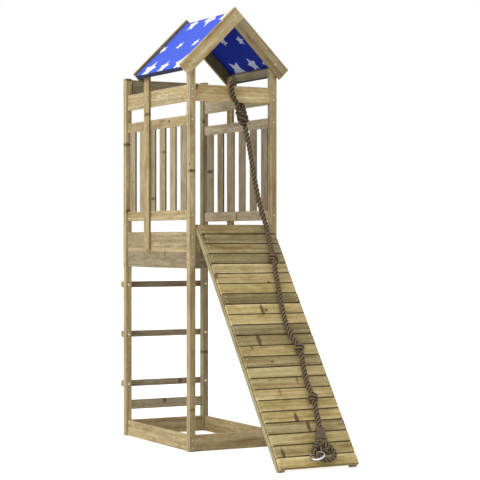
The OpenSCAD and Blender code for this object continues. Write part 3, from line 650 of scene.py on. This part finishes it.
# Fasteners
SCREW_R = 4 * MM
SCREW_SIDES = 16
SIDE_SHARES = (0.25, 0.7)
CROSS_SHARES = (0.38, 0.86)
PAIR_SHARES = (0.24, 0.76)
# Boards lower than this have one screw at each end
ONE_SCREW_H = 50 * MM
RIDGE_SCREW_DROP = 43 * MM
PROP_SCREW_DROP = 20 * MM
BEARER_SCREW_SHARE = 0.75
CROSS_BOARDS = ("base_board_front", "joist_front", "ramp_bearer", "top_rail_front", "base_board_back",
                "back_cross_slat", "joist_back", "top_rail_back")


def screw_heights(node, shares):
    lo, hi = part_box(node)
    if hi.z - lo.z < ONE_SCREW_H:
        return [(lo.z + hi.z) / 2]
    return [lo.z + share * (hi.z - lo.z) for share in shares]


def frame_screw_places():
    """Heads of the frame's screws as (place, direction that the head faces)."""
    places = []

    def put(x, y, z, out):
        places.append((Vector((x, y, z)), out))
    for side, name in SIDES:
        out_x = Vector((side, 0, 0))
        rails = [f"{kind}_{name}" for kind in ("toe_board", "lower_rail", "mid_rail", "top_rail")]
        for node in [f"base_board_{name}", f"joist_{name}"] + rails:
            for z in screw_heights(node, SIDE_SHARES):
                put(side * POST_X, FRONT_Y, z, -Y)
                put(side * POST_X, BACK_Y, z, Y)
        for node in CROSS_BOARDS:
            middle = sum(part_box(node), Vector()) / 2
            for z in screw_heights(node, CROSS_SHARES):
                put(side * HALF_W, middle.y, z, out_x)
        lo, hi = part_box(f"roof_prop_{name}")
        middle = (lo + hi) / 2
        for node in rails:
            put(max(lo.x, hi.x, key=abs), middle.y, sum(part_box(node), Vector()).z / 2, out_x)
        put(middle.x, RAFTERS_BACK, hi.z - PROP_SCREW_DROP, Y)
        put(side * POST_X, rafter_lo.y, roof_z(POST_X, RAFTER_W / 2), -Y)
        stringer = on_planks(0, side * (planks_hi.x - STRINGER_W * BEARER_SCREW_SHARE), -RAMP_DEPTH)
        put(stringer.x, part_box("ramp_bearer")[1].y, stringer.z, Y)
    # The toe boards and the ramp bearer cover the other screws of the floor
    for i in range(2, FLOOR_COUNT):
        lo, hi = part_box(f"floor_board_{i}")
        for share in PAIR_SHARES:
            put(lo.x + share * (hi.x - lo.x), BACK_Y - POST_S / 2, hi.z, Z)
    put(0, rafter_lo.y, RIDGE_Z - RIDGE_SCREW_DROP, -Y)
    put(0, RAFTERS_BACK, RIDGE_Z - RIDGE_SCREW_DROP, Y)
    return places


def ramp_screw_places():
    x = planks_hi.x - STRINGER_W / 2
    return [(on_planks(i * PLANK_PITCH + (1 - share) * PLANK_W, side * x, 0), OFF_RAMP)
            for i in range(PLANK_COUNT) for side, _ in SIDES for share in PAIR_SHARES]


def add_screw_head(bm, place, axis):
    """A countersunk head that stands a little proud, with a cross recess."""
    def cross(lobe, waist):
        return lambda k: lobe if k % (SCREW_SIDES // 4) == 0 else waist
    profile = [
        (SCREW_R, -0.2 * MM), (SCREW_R, 0.2 * MM), (SCREW_R * 0.9, 0.45 * MM), (SCREW_R * 0.62, 0.55 * MM),
        (cross(SCREW_R * 0.56, SCREW_R * 0.2), 0.55 * MM), (cross(SCREW_R * 0.34, SCREW_R * 0.12), -0.5 * MM),
    ]
    spin(bm, profile, place, axis, SCREW_SIDES, rng.uniform(0, pi))


def make_screws(materials):
    sets = (("frame", frame_screw_places(), "screw_zinc"), ("ramp", ramp_screw_places(), "screw_dull_zinc"))
    for name, places, finish in sets:
        bm = bmesh.new()
        for place, axis in places:
            add_screw_head(bm, place, axis)
        piece(bm, f"{name}_screw_heads", materials[finish], "zinc", f"{name}_screws")


BOLT_R = 4 * MM
BOLT_HEAD_R = 7 * MM
BOLT_HEAD_H = 4.5 * MM
DOME_STEPS, DOME_ARC, DOME_RIM = 6, 1.45, 0.15
WASHER_R = 10 * MM
WASHER_T = 1.6 * MM
NUT_R = 7.5 * MM
NUT_H = 6 * MM
NUT_BEVEL = 0.8 * MM
THREAD_STEP = 0.45 * MM
BOLT_END = 2 * MM


def make_rung_bolts(material):
    dome = [(BOLT_HEAD_R, -0.1 * MM)]
    for i in range(DOME_STEPS + 1):
        angle = DOME_ARC * i / DOME_STEPS
        rise = DOME_RIM + (1 - DOME_RIM) * sin(angle)
        dome.append((BOLT_HEAD_R * cos(angle), BOLT_HEAD_H * rise))
    top = WASHER_T + NUT_H
    washer = [(WASHER_R, 0), (WASHER_R, WASHER_T * 0.8), (WASHER_R * 0.95, WASHER_T), (BOLT_R, WASHER_T)]
    nut = [(NUT_R, WASHER_T), (NUT_R, top - NUT_BEVEL), (NUT_R * 0.9, top), (BOLT_R * 1.05, top)]
    thread = [(BOLT_R * (1 if i % 2 else 0.9), top + (i - 2) * THREAD_STEP) for i in range(6)]
    thread.append((BOLT_R * 0.8, top + BOLT_END))
    bm = bmesh.new()
    for node in RUNGS:
        lo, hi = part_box(node)
        for side, _ in SIDES:
            x, z = side * POST_X, (lo.z + hi.z) / 2
            spin(bm, dome, Vector((x, BACK_Y - POST_S, z)), -Y, 32)
            for profile, sides in ((washer, 32), (nut, 6), (thread, 24)):
                spin(bm, profile, Vector((x, hi.y, z)), Y, sides)
    piece(bm, "rung_bolt_set", material, "zinc", "rung_bolts")


# Canvas
CANVAS_SAG = 5 * MM
# Share of the sag at the gables, and how fast it grows from there
GABLE_SAG, SAG_POWER = 0.35, 0.6
CANVAS_RIPPLE = 0.7 * MM
RIPPLE_WAVE, RIPPLE_BEND, RIPPLE_BEND_WAVE = 92, 3, 17
CANVAS_STEP = 16 * MM
# Smaller triangles of the flat cloth lie on its edge and are left out
LEAST_AREA = 1e-8
NEAR, ROUNDING = 1e-6, 1e-9
HEM_W = 13 * MM
HEM_EDGE = 0.3 * MM
HEM_RISE = 0.6 * MM
HEM_DROP = 6 * MM
STITCH_LEN = 4 * MM
STITCH_GAP = 2.2 * MM
STITCH_R = 0.45 * MM
STITCH_PLACE = 0.75
STITCH_RISE = 0.3
STITCH_SIDES = 6
STITCH_SHAPE = ((0, 0.3), (0.2, 1), (0.8, 1), (1, 0.3))
STAR_RADII = (64 * MM, 30 * MM, 46 * MM, 30 * MM)
STAR_PITCH = 168 * MM
STAR_START = (0.3, 0.35)
STAR_JITTER = (-12 * MM, 12 * MM)
STAR_WAIST = 0.52
CANVAS_LEN = ROOF_BACK - FRONT_Y - 2 * SEAT
EAVE_LAP = SEAT + CANVAS_T
CANVAS_FINISHES = ("canvas_blue", "canvas_white", "shaded_inner_blue", "shaded_inner_white", "shaded_hem_navy")
# The hems' dark navy is painted shade
SHADED_HEM = CANVAS_FINISHES.index("shaded_hem_navy")
# Corners of the cloth's outer face across the roof, from the left hem to the right one
CANVAS_DEPTHS = (BATTEN_UNDER + HEM_DROP, CANVAS_DROP)
CANVAS_CORNERS = [
    *[slope_at(-1, -EAVE_LAP, depth) for depth in CANVAS_DEPTHS],
    Vector((0, 0, roof_z(0, CANVAS_DROP))),
    *[slope_at(1, -EAVE_LAP, depth) for depth in CANVAS_DEPTHS[::-1]],
]
CANVAS_RUNS = run_lengths(CANVAS_CORNERS)
LEFT_EAVE, RIDGE, RIGHT_EAVE, CANVAS_W = CANVAS_RUNS[1:]


def canvas_at(along, across, inside):
    """A place on the cloth, by its distances from the front edge and across from the left hem."""
    k = max(i for i, run in enumerate(CANVAS_RUNS[:-1]) if across >= run - ROUNDING)
    way = (CANVAS_CORNERS[k + 1] - CANVAS_CORNERS[k]).normalized()
    out = Vector((-way.z, 0, way.x))
    place = CANVAS_CORNERS[k] + way * (across - CANVAS_RUNS[k])
    drop = CANVAS_T if inside else 0
    from_ridge = abs(across - RIDGE)
    if k in (1, 2):
        free = (from_ridge - BATTEN_T) / (RIDGE - LEFT_EAVE - BATTEN_T - EAVE_BATTEN_W)
        if 0 < free < 1:
            middle = sin(pi * along / CANVAS_LEN) ** SAG_POWER
            wave = sin(along * RIPPLE_WAVE + RIPPLE_BEND * sin(across * RIPPLE_BEND_WAVE))
            sag = CANVAS_SAG * (GABLE_SAG + (1 - GABLE_SAG) * middle) + CANVAS_RIPPLE * wave
            drop += sag * sin(pi * free) ** 2
        if not inside and min(along, CANVAS_LEN - along) < HEM_W:
            drop -= HEM_RISE
    if from_ridge < NEAR:
        out = Z / ROOF_COS
    place -= out * drop
    place.y = FRONT_Y + SEAT + along
    return place


def star(centre, radius, turn):
    reaches = (radius, radius * STAR_WAIST)
    return [centre + polar(reaches[i % 2], turn + angle, 0).xy for i, angle in enumerate(angles(10))]


def canvas_stars():
    """Stars in staggered rows over the flat cloth, cut off at its edges."""
    stars = []
    edges = (lambda p: p.x, lambda p: CANVAS_LEN - p.x, lambda p: p.y, lambda p: CANVAS_W - p.y)
    for row in range(int(CANVAS_W / STAR_PITCH) + 1):
        for column in range(-1, int(CANVAS_LEN / STAR_PITCH) + 1):
            x = (column + row % 2 / 2 + STAR_START[0]) * STAR_PITCH + rng.uniform(*STAR_JITTER)
            y = (row + STAR_START[1]) * STAR_PITCH + rng.uniform(*STAR_JITTER)
            radius = STAR_RADII[(row + 2 * column) % len(STAR_RADII)]
            outline = star(Vector((x, y)), radius, rng.uniform(0, pi))
            for edge in edges:
                outline = clipped(outline, edge)
            if len(outline) > 2:
                stars.append(outline)
    return stars


def steps(stops, step):
    """Places between the stops, about step apart."""
    places = []
    for a, b in zip(stops, stops[1:]):
        count = max(1, round((b - a) / step))
        places += [a + (b - a) * i / count for i in range(count)]
    return places + [stops[-1]]


def make_canvas(materials):
    far = CANVAS_LEN - HEM_W
    alongs = steps([0, HEM_W - HEM_EDGE, HEM_W, far, far + HEM_EDGE, CANVAS_LEN], CANVAS_STEP)
    acrosses = steps(CANVAS_RUNS, CANVAS_STEP)
    points = [Vector((a, b)) for a in alongs for b in acrosses]
    creases = []
    for run in (LEFT_EAVE, RIDGE, RIGHT_EAVE):
        line = [i * len(acrosses) + acrosses.index(run) for i in range(len(alongs))]
        creases += zip(line, line[1:])
    faces = []
    for outline in canvas_stars():
        faces.append(list(range(len(points), len(points) + len(outline))))
        points += outline
    verts, _, tris, _, _, sources = delaunay_2d_cdt(points, creases, faces, 0, NEAR)
    bm = bmesh.new()
    weave = bm.verts.layers.float_vector.new("weave")
    layers = ([], [])
    for inside, layer in enumerate(layers):
        for v in verts:
            along, across = min(max(v.x, 0), CANVAS_LEN), min(max(v.y, 0), CANVAS_W)
            layer.append(bm.verts.new(canvas_at(along, across, inside)))
            layer[-1][weave] = Vector((along, across, 0))
    for tri, source in zip(tris, sources):
        a, b, c = (verts[i] for i in tri)
        if abs((b - a).cross(c - a)) < LEAST_AREA:
            continue
        # Faces on the hems take the dark navy of painted shade
        in_hem = not LEFT_EAVE < (a.y + b.y + c.y) / 3 < RIGHT_EAVE
        for inside, layer in enumerate(layers):
            face = bm.faces.new([layer[i] for i in (tri if inside else tri[::-1])])
            # Inner faces take the darkened colours, as painted shade
            face.material_index = SHADED_HEM if in_hem else 2 * inside + bool(source)
            face.smooth = True
    add_rim(bm, verts, layers)
    face_out(bm)
    canvas = piece(bm, "canvas_roof", [materials[key] for key in CANVAS_FINISHES], "canvas", "roof_canvas")
    stitching = make_stitching(materials["canvas_thread"])


def add_rim(bm, verts, layers):
    """Closes the cloth's edges between its outer and inner layer, in the hems' dark navy, which is painted
    shade.
    """
    for axis, stop in ((0, 0), (0, CANVAS_LEN), (1, 0), (1, CANVAS_W)):
        edge = [i for i, v in enumerate(verts) if abs(v[axis] - stop) < NEAR]
        edge.sort(key=lambda i: verts[i][1 - axis])
        for a, b in zip(edge, edge[1:]):
            face = bm.faces.new((layers[0][a], layers[0][b], layers[1][b], layers[1][a]))
            face.material_index = SHADED_HEM


def make_stitching(material):
    """Stitches along the hems at the two gables."""
    bm = bmesh.new()
    for along in (HEM_W * STITCH_PLACE, CANVAS_LEN - HEM_W * STITCH_PLACE):
        across = LEFT_EAVE + STITCH_LEN
        while across < RIGHT_EAVE - 2 * STITCH_LEN:
            if not RIDGE - 2 * STITCH_LEN < across < RIDGE + STITCH_LEN:
                add_stitch(bm, canvas_at(along, across, False), canvas_at(along, across + STITCH_LEN, False))
            across += STITCH_LEN + STITCH_GAP
    return piece(bm, "canvas_stitching", material, "canvas")


def add_stitch(bm, start, end):
    out = (end - start).normalized().cross(Y)
    if out.z < 0:
        out.negate()
    rings = []
    for share, thick in STITCH_SHAPE:
        reach = STITCH_R * thick
        middle = start.lerp(end, share) + out * reach * STITCH_RISE
        rings.append([bm.verts.new(middle + reach * turned(a, Y, out)) for a in angles(STITCH_SIDES)])
    skin(bm, rings)


# Rope
ROPE_R = 12.5 * MM
ROPE_LAY = 62 * MM
STRANDS = 3
STRAND_SHARE = 0.47
STRAND_SIDES = 10
RINGS_PER_LAY = 14
STRAND_OUT = 20.5 * MM
NOOSE_AT = Vector((51 * MM, FRONT_Y + POST_S / 2 - 10 * MM, RAIL_LO.z - 72 * MM))
NOOSE_TILT = radians(17)
NOOSE_LEN = 72 * MM
NOOSE_WRAPS = 4.2
NOOSE_WRAP_START = 0.6
NOOSE_WRAP_LEN = 96 * MM
NOOSE_WRAP_R = 29 * MM
NOOSE_WRAP_RISE = 10 * MM
NOOSE_LEG = 13.1 * MM
NOOSE_LEG_RISE = 9 * MM
HANG_LEAD_SHARE = 0.064
# Places in a turn of a wrapped rope, share of its path on which it leaves the axis, where it starts
WRAP_STEPS, WRAP_LEAD, WRAP_CORE = 16, 1 / 6, 0.35
# Route of the loop over the front rail as (X in mm, share of a strand's distance from the rail's
# middle, share of the rail's height, rise as a share of the rope's radius)
LOOP_ROUTE = [
    (24, -0.7, 0, -1.9), (14, -1, 0, -0.4), (0, -1, 0.2, 0), (-10, -1, 0.55, 0), (-13, -1, 0.9, 0),
    (-8, -0.8, 1, 0.8), (4, 0, 1, 1.1), (18, 0.8, 1, 0.8), (28, 1, 0.9, 0), (42, 1, 0.55, 0),
    (55, 1, 0.2, 0), (60, 1, 0, -0.2), (58, 0.5, 0, -1.1), (52, -0.4, 0, -1.4),
]
# Route of the free rope from the noose's foot to the ramp's top edge, in mm
HANG_ROUTE = [
    (20, -3, -90), (32, -10, -175), (46, -21, -285), (62, -31, -380), (76, -37, -435), (84, -43, -467),
]
EDGE_DOWN, EDGE_X, EDGE_RISE = 6 * MM, 149 * MM, 7 * MM
# Route on the ramp as (distance down in mm, X in mm, share of the rise onto a knot)
ROUTE_LEN = 1115 * MM
RAMP_ROUTE = [
    (60, 147, 0), (120, 140, 0), (160, 132, 0.4), (190, 125, 1), (215, 121, 1), (240, 118, 1),
    (270, 114, 0.4), (315, 108, 0), (380, 98, 0), (440, 87, 0), (500, 78, 0), (560, 72, 0), (610, 71, 0),
    (655, 77, 0.4), (685, 84, 1), (710, 87, 1), (735, 88, 1), (770, 85, 0.4), (815, 79, 0), (880, 71, 0),
    (920, 68, 0.4), (945, 67, 1), (970, 66, 1), (995, 65, 1), (1030, 63, 0.4), (1075, 60, 0),
    (1095, 56, 0),
]
# Places of the knots in the route
KNOTS = (4, 15, 22)
KNOT_R = 24 * MM
KNOT_LEN = 46 * MM
KNOT_TURNS = 2.3
KNOT_ROPE_R = 0.95 * ROPE_R
KNOT_LIFT = KNOT_R + SEAT
ROPE_LIFT = ROPE_R + 3 * SEAT
SLEEVE_X = 52 * MM
SLEEVE_LEN = 56 * MM
SLEEVE_R = 13.5 * MM
SLEEVE_FOOT_W = 54 * MM
SLEEVE_HEAD_SPREAD = 0.42
SLEEVE_LIFT = SLEEVE_R + SEAT
SLEEVE_SIDES = 48
# Sections down the sleeve as (share of its length, share of its radius), with a lip at each end
SLEEVE_HEAD = [(0, 0.86), (0.02, 0.97), (0.06, 1), (0.1, 0.99), (0.14, 0.95)]
SLEEVE_FOOT = [(0.86, 0.95), (0.9, 0.99), (0.95, 1), (0.985, 0.97), (1, 0.88)]
SLEEVE_STEPS = 8
EYE_LEN = 108 * MM
EYE_W = 96 * MM
EYE_MARGIN = 11 * MM
# Places of a leg of the eye as shares of its length and of half its width
EYE_SHARES = [
    (0, 0.27), (0.05, 0.27), (0.15, 0.36), (0.3, 0.64), (0.5, 0.93), (0.68, 1), (0.85, 0.8), (0.96, 0.42),
]
INNER_EYE_SHARES = [(0, 0.1), (0.1, 0.1), (0.25, 0.15), (0.38, 0.3), (0.48, 0.38), (0.55, 0.26)]
INNER_EYE_FOOT = 0.575
RING_R = 30 * MM
RING_WIRE_R = 4 * MM
RING_STEPS, RING_SIDES = 72, 18
WELD_AT, WELD_W, WELD_RISE = 0.9, 0.1, 0.12
RING_PLACE = 6
RING_TURN = radians(42)
RING_DROP = ROPE_R + RING_WIRE_R + 4.2 * MM
RING_TILT = -asin(RING_DROP / RING_R)
EYE_LIFT = RING_DROP + RING_WIRE_R + SEAT
ROPE_RUN = RAMP_LEN - SLEEVE_LEN - EYE_LEN - EYE_MARGIN
ROUTE_SCALE = ROPE_RUN / ROUTE_LEN
NOOSE_AXIS, NOOSE_ACROSS = turned(NOOSE_TILT, Z, -X), turned(NOOSE_TILT, X, Z)
NOOSE_TOP = NOOSE_AT + NOOSE_AXIS * NOOSE_LEN / 2
NOOSE_FOOT = NOOSE_AT - NOOSE_AXIS * NOOSE_LEN / 2
SLEEVE_TURN = atan2(SLEEVE_X - RAMP_ROUTE[-1][1] * MM, ROPE_RUN - RAMP_ROUTE[-1][0] * MM * ROUTE_SCALE)
RAMP_FRAME = Matrix.Translation(RAMP_TOP) @ Matrix.Rotation(RAMP_ANGLE, 4, "X")
SLEEVE_PLACE = Matrix.Translation((SLEEVE_X, -ROPE_RUN, 0)) @ Matrix.Rotation(SLEEVE_TURN, 4, "Z")
SLEEVE_FRAME = RAMP_FRAME @ SLEEVE_PLACE


def curved(path):
    """The path with a place added on the curve between each two, twice, and straight at its ends."""
    for _ in range(2):
        out = []
        for i in range(len(path) - 1):
            near = path[i] + path[i + 1]
            straight = i in (0, len(path) - 2)
            out += [path[i], near / 2 if straight else near * 9 / 16 - (path[i - 1] + path[i + 2]) / 16]
        path = out + [path[-1]]
    return path


def even(path, step):
    """The path again, with places about step apart."""
    runs = run_lengths(path)
    count = max(2, round(runs[-1] / step))
    out, k = [], 0
    for i in range(count + 1):
        run = runs[-1] * i / count
        while k < len(path) - 2 and runs[k + 1] < run:
            k += 1
        out.append(path[k].lerp(path[k + 1], (run - runs[k]) / (runs[k + 1] - runs[k])))
    return out


def along_ramp(i):
    down, x, rise = RAMP_ROUTE[i]
    return on_planks(down * MM * ROUTE_SCALE, x * MM, ROPE_LIFT + rise * (KNOT_LIFT - ROPE_LIFT))


def at_rail(x, out, up, rise):
    y = (RAIL_LO.y + RAIL_HI.y) / 2 + out * STRAND_OUT
    return Vector((x * MM, y, RAIL_LO.z + up * (RAIL_HI.z - RAIL_LO.z) + rise * ROPE_R))


def loop_path():
    def leg(side, rise):
        return NOOSE_TOP + side * NOOSE_LEG * NOOSE_ACROSS + rise * NOOSE_AXIS
    path = [leg(-1, 0), leg(-1, NOOSE_LEG_RISE)] + [at_rail(*place) for place in LOOP_ROUTE]
    return curved(path + [leg(1, NOOSE_LEG_RISE), leg(1, 0)])


def rope_path():
    hang = on_planks(EDGE_DOWN, EDGE_X, ROPE_R + EDGE_RISE) - NOOSE_FOOT
    path = [NOOSE_FOOT, NOOSE_FOOT + HANG_LEAD_SHARE * hang.z * NOOSE_AXIS]
    for p in HANG_ROUTE:
        path.append(NOOSE_FOOT + Vector([p[k] / HANG_ROUTE[-1][k] * hang[k] for k in range(3)]))
    path += [along_ramp(i) for i in range(len(RAMP_ROUTE))]
    path.append(on_planks(ROPE_RUN - SEAT, SLEEVE_X, SLEEVE_LIFT))
    return curved(path) + [SLEEVE_FRAME @ Vector((0, -SLEEVE_LEN, SLEEVE_LIFT))]


def eye_point(side, down, out):
    low, high = EYE_SHARES[1][0], EYE_SHARES[RING_PLACE][0]
    rise = max(0, min(1, (down - low) / (high - low)))
    z = SLEEVE_LIFT + rise * (EYE_LIFT - SLEEVE_LIFT)
    return SLEEVE_FRAME @ Vector((side * out * EYE_W / 2, -SLEEVE_LEN - down * EYE_LEN, z))


def eye_path(shares, foot):
    """A turn of the eye, with its foot at a share of the eye's length."""
    path = [eye_point(-1, *share) for share in shares] + [eye_point(1, foot, 0)]
    return curved(path + [eye_point(1, *share) for share in shares[::-1]])


def wrap_path(middle, axis, length, radius, turns, rope_r, start):
    """A rope's path that leaves the axis, winds round it and goes back into it."""
    across = axis.orthogonal().normalized()
    side = axis.cross(across)
    path = []
    count = int(turns * WRAP_STEPS)
    for i in range(count + 1):
        share = i / count
        ends = min(1, share / WRAP_LEAD, (1 - share) / WRAP_LEAD)
        reach = (radius - rope_r) * (WRAP_CORE + (1 - WRAP_CORE) * sin(ends * pi / 2))
        angle = start + 2 * pi * turns * share
        rise = (share - 0.5) * (length - 2 * rope_r)
        path.append(middle + axis * rise + reach * turned(angle, across, side))
    return path


def knot_path(i):
    axis = (along_ramp(i + 1) - along_ramp(i - 1)).normalized()
    return wrap_path(along_ramp(i), axis, KNOT_LEN, KNOT_R, KNOT_TURNS, KNOT_ROPE_R, i)


def tangents(path):
    last = len(path) - 1
    return [(path[min(i + 1, last)] - path[max(i - 1, 0)]).normalized() for i in range(last + 1)]


def rope_piece(name, material, node, paths, radius=ROPE_R):
    bm = bmesh.new()
    bm.verts.layers.float_vector.new("lay")
    for path in paths:
        add_rope(bm, path, radius)
    return piece(bm, name, material, "rope", node)


def add_rope(bm, path, radius):
    """Three strands laid round a path."""
    path = even(path, ROPE_LAY / RINGS_PER_LAY)
    along = tangents(path)
    across = [along[0].orthogonal().normalized()]
    for way in along[1:]:
        across.append((across[-1] - across[-1].dot(way) * way).normalized())
    strand_r = radius * STRAND_SHARE
    runs = run_lengths(path)
    for strand in range(STRANDS):
        outs, middles = [], []
        for i, p in enumerate(path):
            turn = 2 * pi * (runs[i] / ROPE_LAY + strand / STRANDS)
            outs.append(turned(turn, across[i], along[i].cross(across[i])))
            middles.append(p + outs[i] * (radius - strand_r))
        add_strand(bm, middles, outs, strand_r, runs)


def add_strand(bm, middles, outs, radius, runs):
    lay = bm.verts.layers.float_vector["lay"]
    rings = []
    for middle, way, out, run in zip(middles, tangents(middles), outs, runs):
        out = (out - out.dot(way) * way).normalized()
        side = way.cross(out)
        rings.append([])
        for k, angle in enumerate(angles(STRAND_SIDES)):
            vert = bm.verts.new(middle + radius * turned(angle, out, side))
            vert[lay] = Vector((run, k / STRAND_SIDES, 0.5 + 0.5 * cos(angle)))
            rings[-1].append(vert)
    skin(bm, rings)


def make_rope(materials):
    path = rope_path()
    # The noose and the loop over the rail take the darker copy, as painted shade
    free, shaded_fibre = materials["rope_fibre"], materials["shaded_rope_fibre"]
    rope = rope_piece("rope_climbing", free, "climbing_rope", [path])
    rope_piece("rope_over_rail", shaded_fibre, "rope_loop", [loop_path()])
    wraps = wrap_path(NOOSE_AT + NOOSE_WRAP_RISE * NOOSE_AXIS, NOOSE_AXIS, NOOSE_WRAP_LEN, NOOSE_WRAP_R,
                      NOOSE_WRAPS, ROPE_R, NOOSE_WRAP_START)
    noose = rope_piece("rope_noose_wraps", shaded_fibre, "rope_noose", [[NOOSE_FOOT, NOOSE_AT, NOOSE_TOP], wraps])
    knots = rope_piece("rope_knot_wraps", free, "rope_knots", [knot_path(i) for i in KNOTS], KNOT_ROPE_R)
    turns = [eye_path(EYE_SHARES, 1), eye_path(INNER_EYE_SHARES, INNER_EYE_FOOT)]
    eye = rope_piece("rope_eye_strand", free, "rope_eye", turns)
    sleeve = make_sleeve(materials["sleeve_plastic"])
    ring = make_ring(materials["ring_steel"])


def make_sleeve(material):
    """A moulded sleeve that widens from the rope to the two legs of the eye."""
    (start, full), (end, _) = SLEEVE_HEAD[-1], SLEEVE_FOOT[0]
    middle = [(start + (end - start) * i / SLEEVE_STEPS, full) for i in range(1, SLEEVE_STEPS)]
    bm = bmesh.new()
    rings = []
    for share, full in SLEEVE_HEAD + middle + SLEEVE_FOOT:
        spread = (SLEEVE_FOOT_W / 2 - SLEEVE_R) * (SLEEVE_HEAD_SPREAD + (1 - SLEEVE_HEAD_SPREAD) * share)
        rings.append([])
        for angle in angles(SLEEVE_SIDES):
            x = SLEEVE_R * full * cos(angle) + copysign(spread, cos(angle))
            z = SLEEVE_LIFT + SLEEVE_R * full * sin(angle)
            rings[-1].append(bm.verts.new(SLEEVE_FRAME @ Vector((x, -share * SLEEVE_LEN, z))))
    skin(bm, rings)
    face_out(bm)
    return piece(bm, "rope_sleeve_moulding", material, "sleeve", "rope_sleeve")


def make_ring(material):
    """A welded wire ring that hangs in the eye and lies on the planks."""
    place = SLEEVE_FRAME.inverted() @ eye_point(-1, *EYE_SHARES[RING_PLACE])
    turn = Matrix.Rotation(RING_TURN, 4, "Z") @ Matrix.Rotation(RING_TILT, 4, "X")
    matrix = SLEEVE_FRAME @ Matrix.Translation(place) @ turn
    bm = bmesh.new()
    rings = []
    for angle in angles(RING_STEPS):
        wire_r = RING_WIRE_R * (1 + WELD_RISE * exp(-((angle - WELD_AT) / WELD_W) ** 2))
        wire = [(RING_R + wire_r * cos(a), wire_r * sin(a)) for a in angles(RING_SIDES)]
        rings.append([bm.verts.new(matrix @ polar(reach, angle, height)) for reach, height in wire])
    skin(bm, rings, closed=True)
    face_out(bm)
    return piece(bm, "rope_ring_welded", material, "steel", "rope_ring")


# Stage
FLOOR_HALF = 40
FLOOR_COLOUR, FLOOR_ROUGH = (0.86, 0.86, 0.86, 1), 0.9
FLOOR_GLOW = 0.66
WORLD_LIGHT = 0.74
WHITE = (1, 1, 1, 1)
# Name, place, size and power of each lamp
LAMPS = (("key", (-6, -0.6, 4), 3, 190), ("fill", (-2, -7, 3), 4, 36))
LAMP_AIM = Vector((0, 0, 1))


def seen_directly(nodes):
    """1 for the camera's rays and what metal and glass show, otherwise 0."""
    rays = nodes.add("LightPath", {}).node.outputs
    seen = nodes.math("MAXIMUM", rays["Is Camera Ray"], rays["Is Glossy Ray"])
    return nodes.math("MAXIMUM", seen, rays["Is Transmission Ray"])


def make_floor():
    mesh = bpy.data.meshes.new("floor")
    corners = [(x * FLOOR_HALF, y * FLOOR_HALF, 0) for x, y in ((-1, -1), (1, -1), (1, 1), (-1, 1))]
    mesh.from_pydata(corners, [], [(0, 1, 2, 3)])
    floor = new_object("floor", mesh)
    mesh.materials.append(make_material("floor_white", floor_white))


def make_light():
    world = bpy.data.worlds.new("studio")
    bpy.context.scene.world = world
    world.use_nodes = True
    nodes = Nodes(world.node_tree)
    strength = nodes.ranged(seen_directly(nodes), 0, 1, WORLD_LIGHT, 1)
    nodes.fill(world.node_tree.nodes["Background"].inputs, {"Color": WHITE, "Strength": strength})
    for name, place, size, power in LAMPS:
        data = bpy.data.lights.new(name, "AREA")
        data.size = size
        data.energy = power
        lamp = new_object(name, data)
        lamp.location = place
        lamp.rotation_euler = (LAMP_AIM - Vector(place)).to_track_quat("-Z", "Y").to_euler()
    bpy.context.scene.view_settings.view_transform = "Standard"


make_camera()
materials = make_materials()
make_rope(materials)
for make in (make_box_boards, make_edge_floor_boards, make_slats, make_front_posts, make_roof_timber):
    make(materials["treated_pine"])
make_ramp(materials["ramp_pine"])
make_screws(materials)
make_rung_bolts(materials["bolt_zinc"])
make_canvas(materials)
make_floor()
make_light()
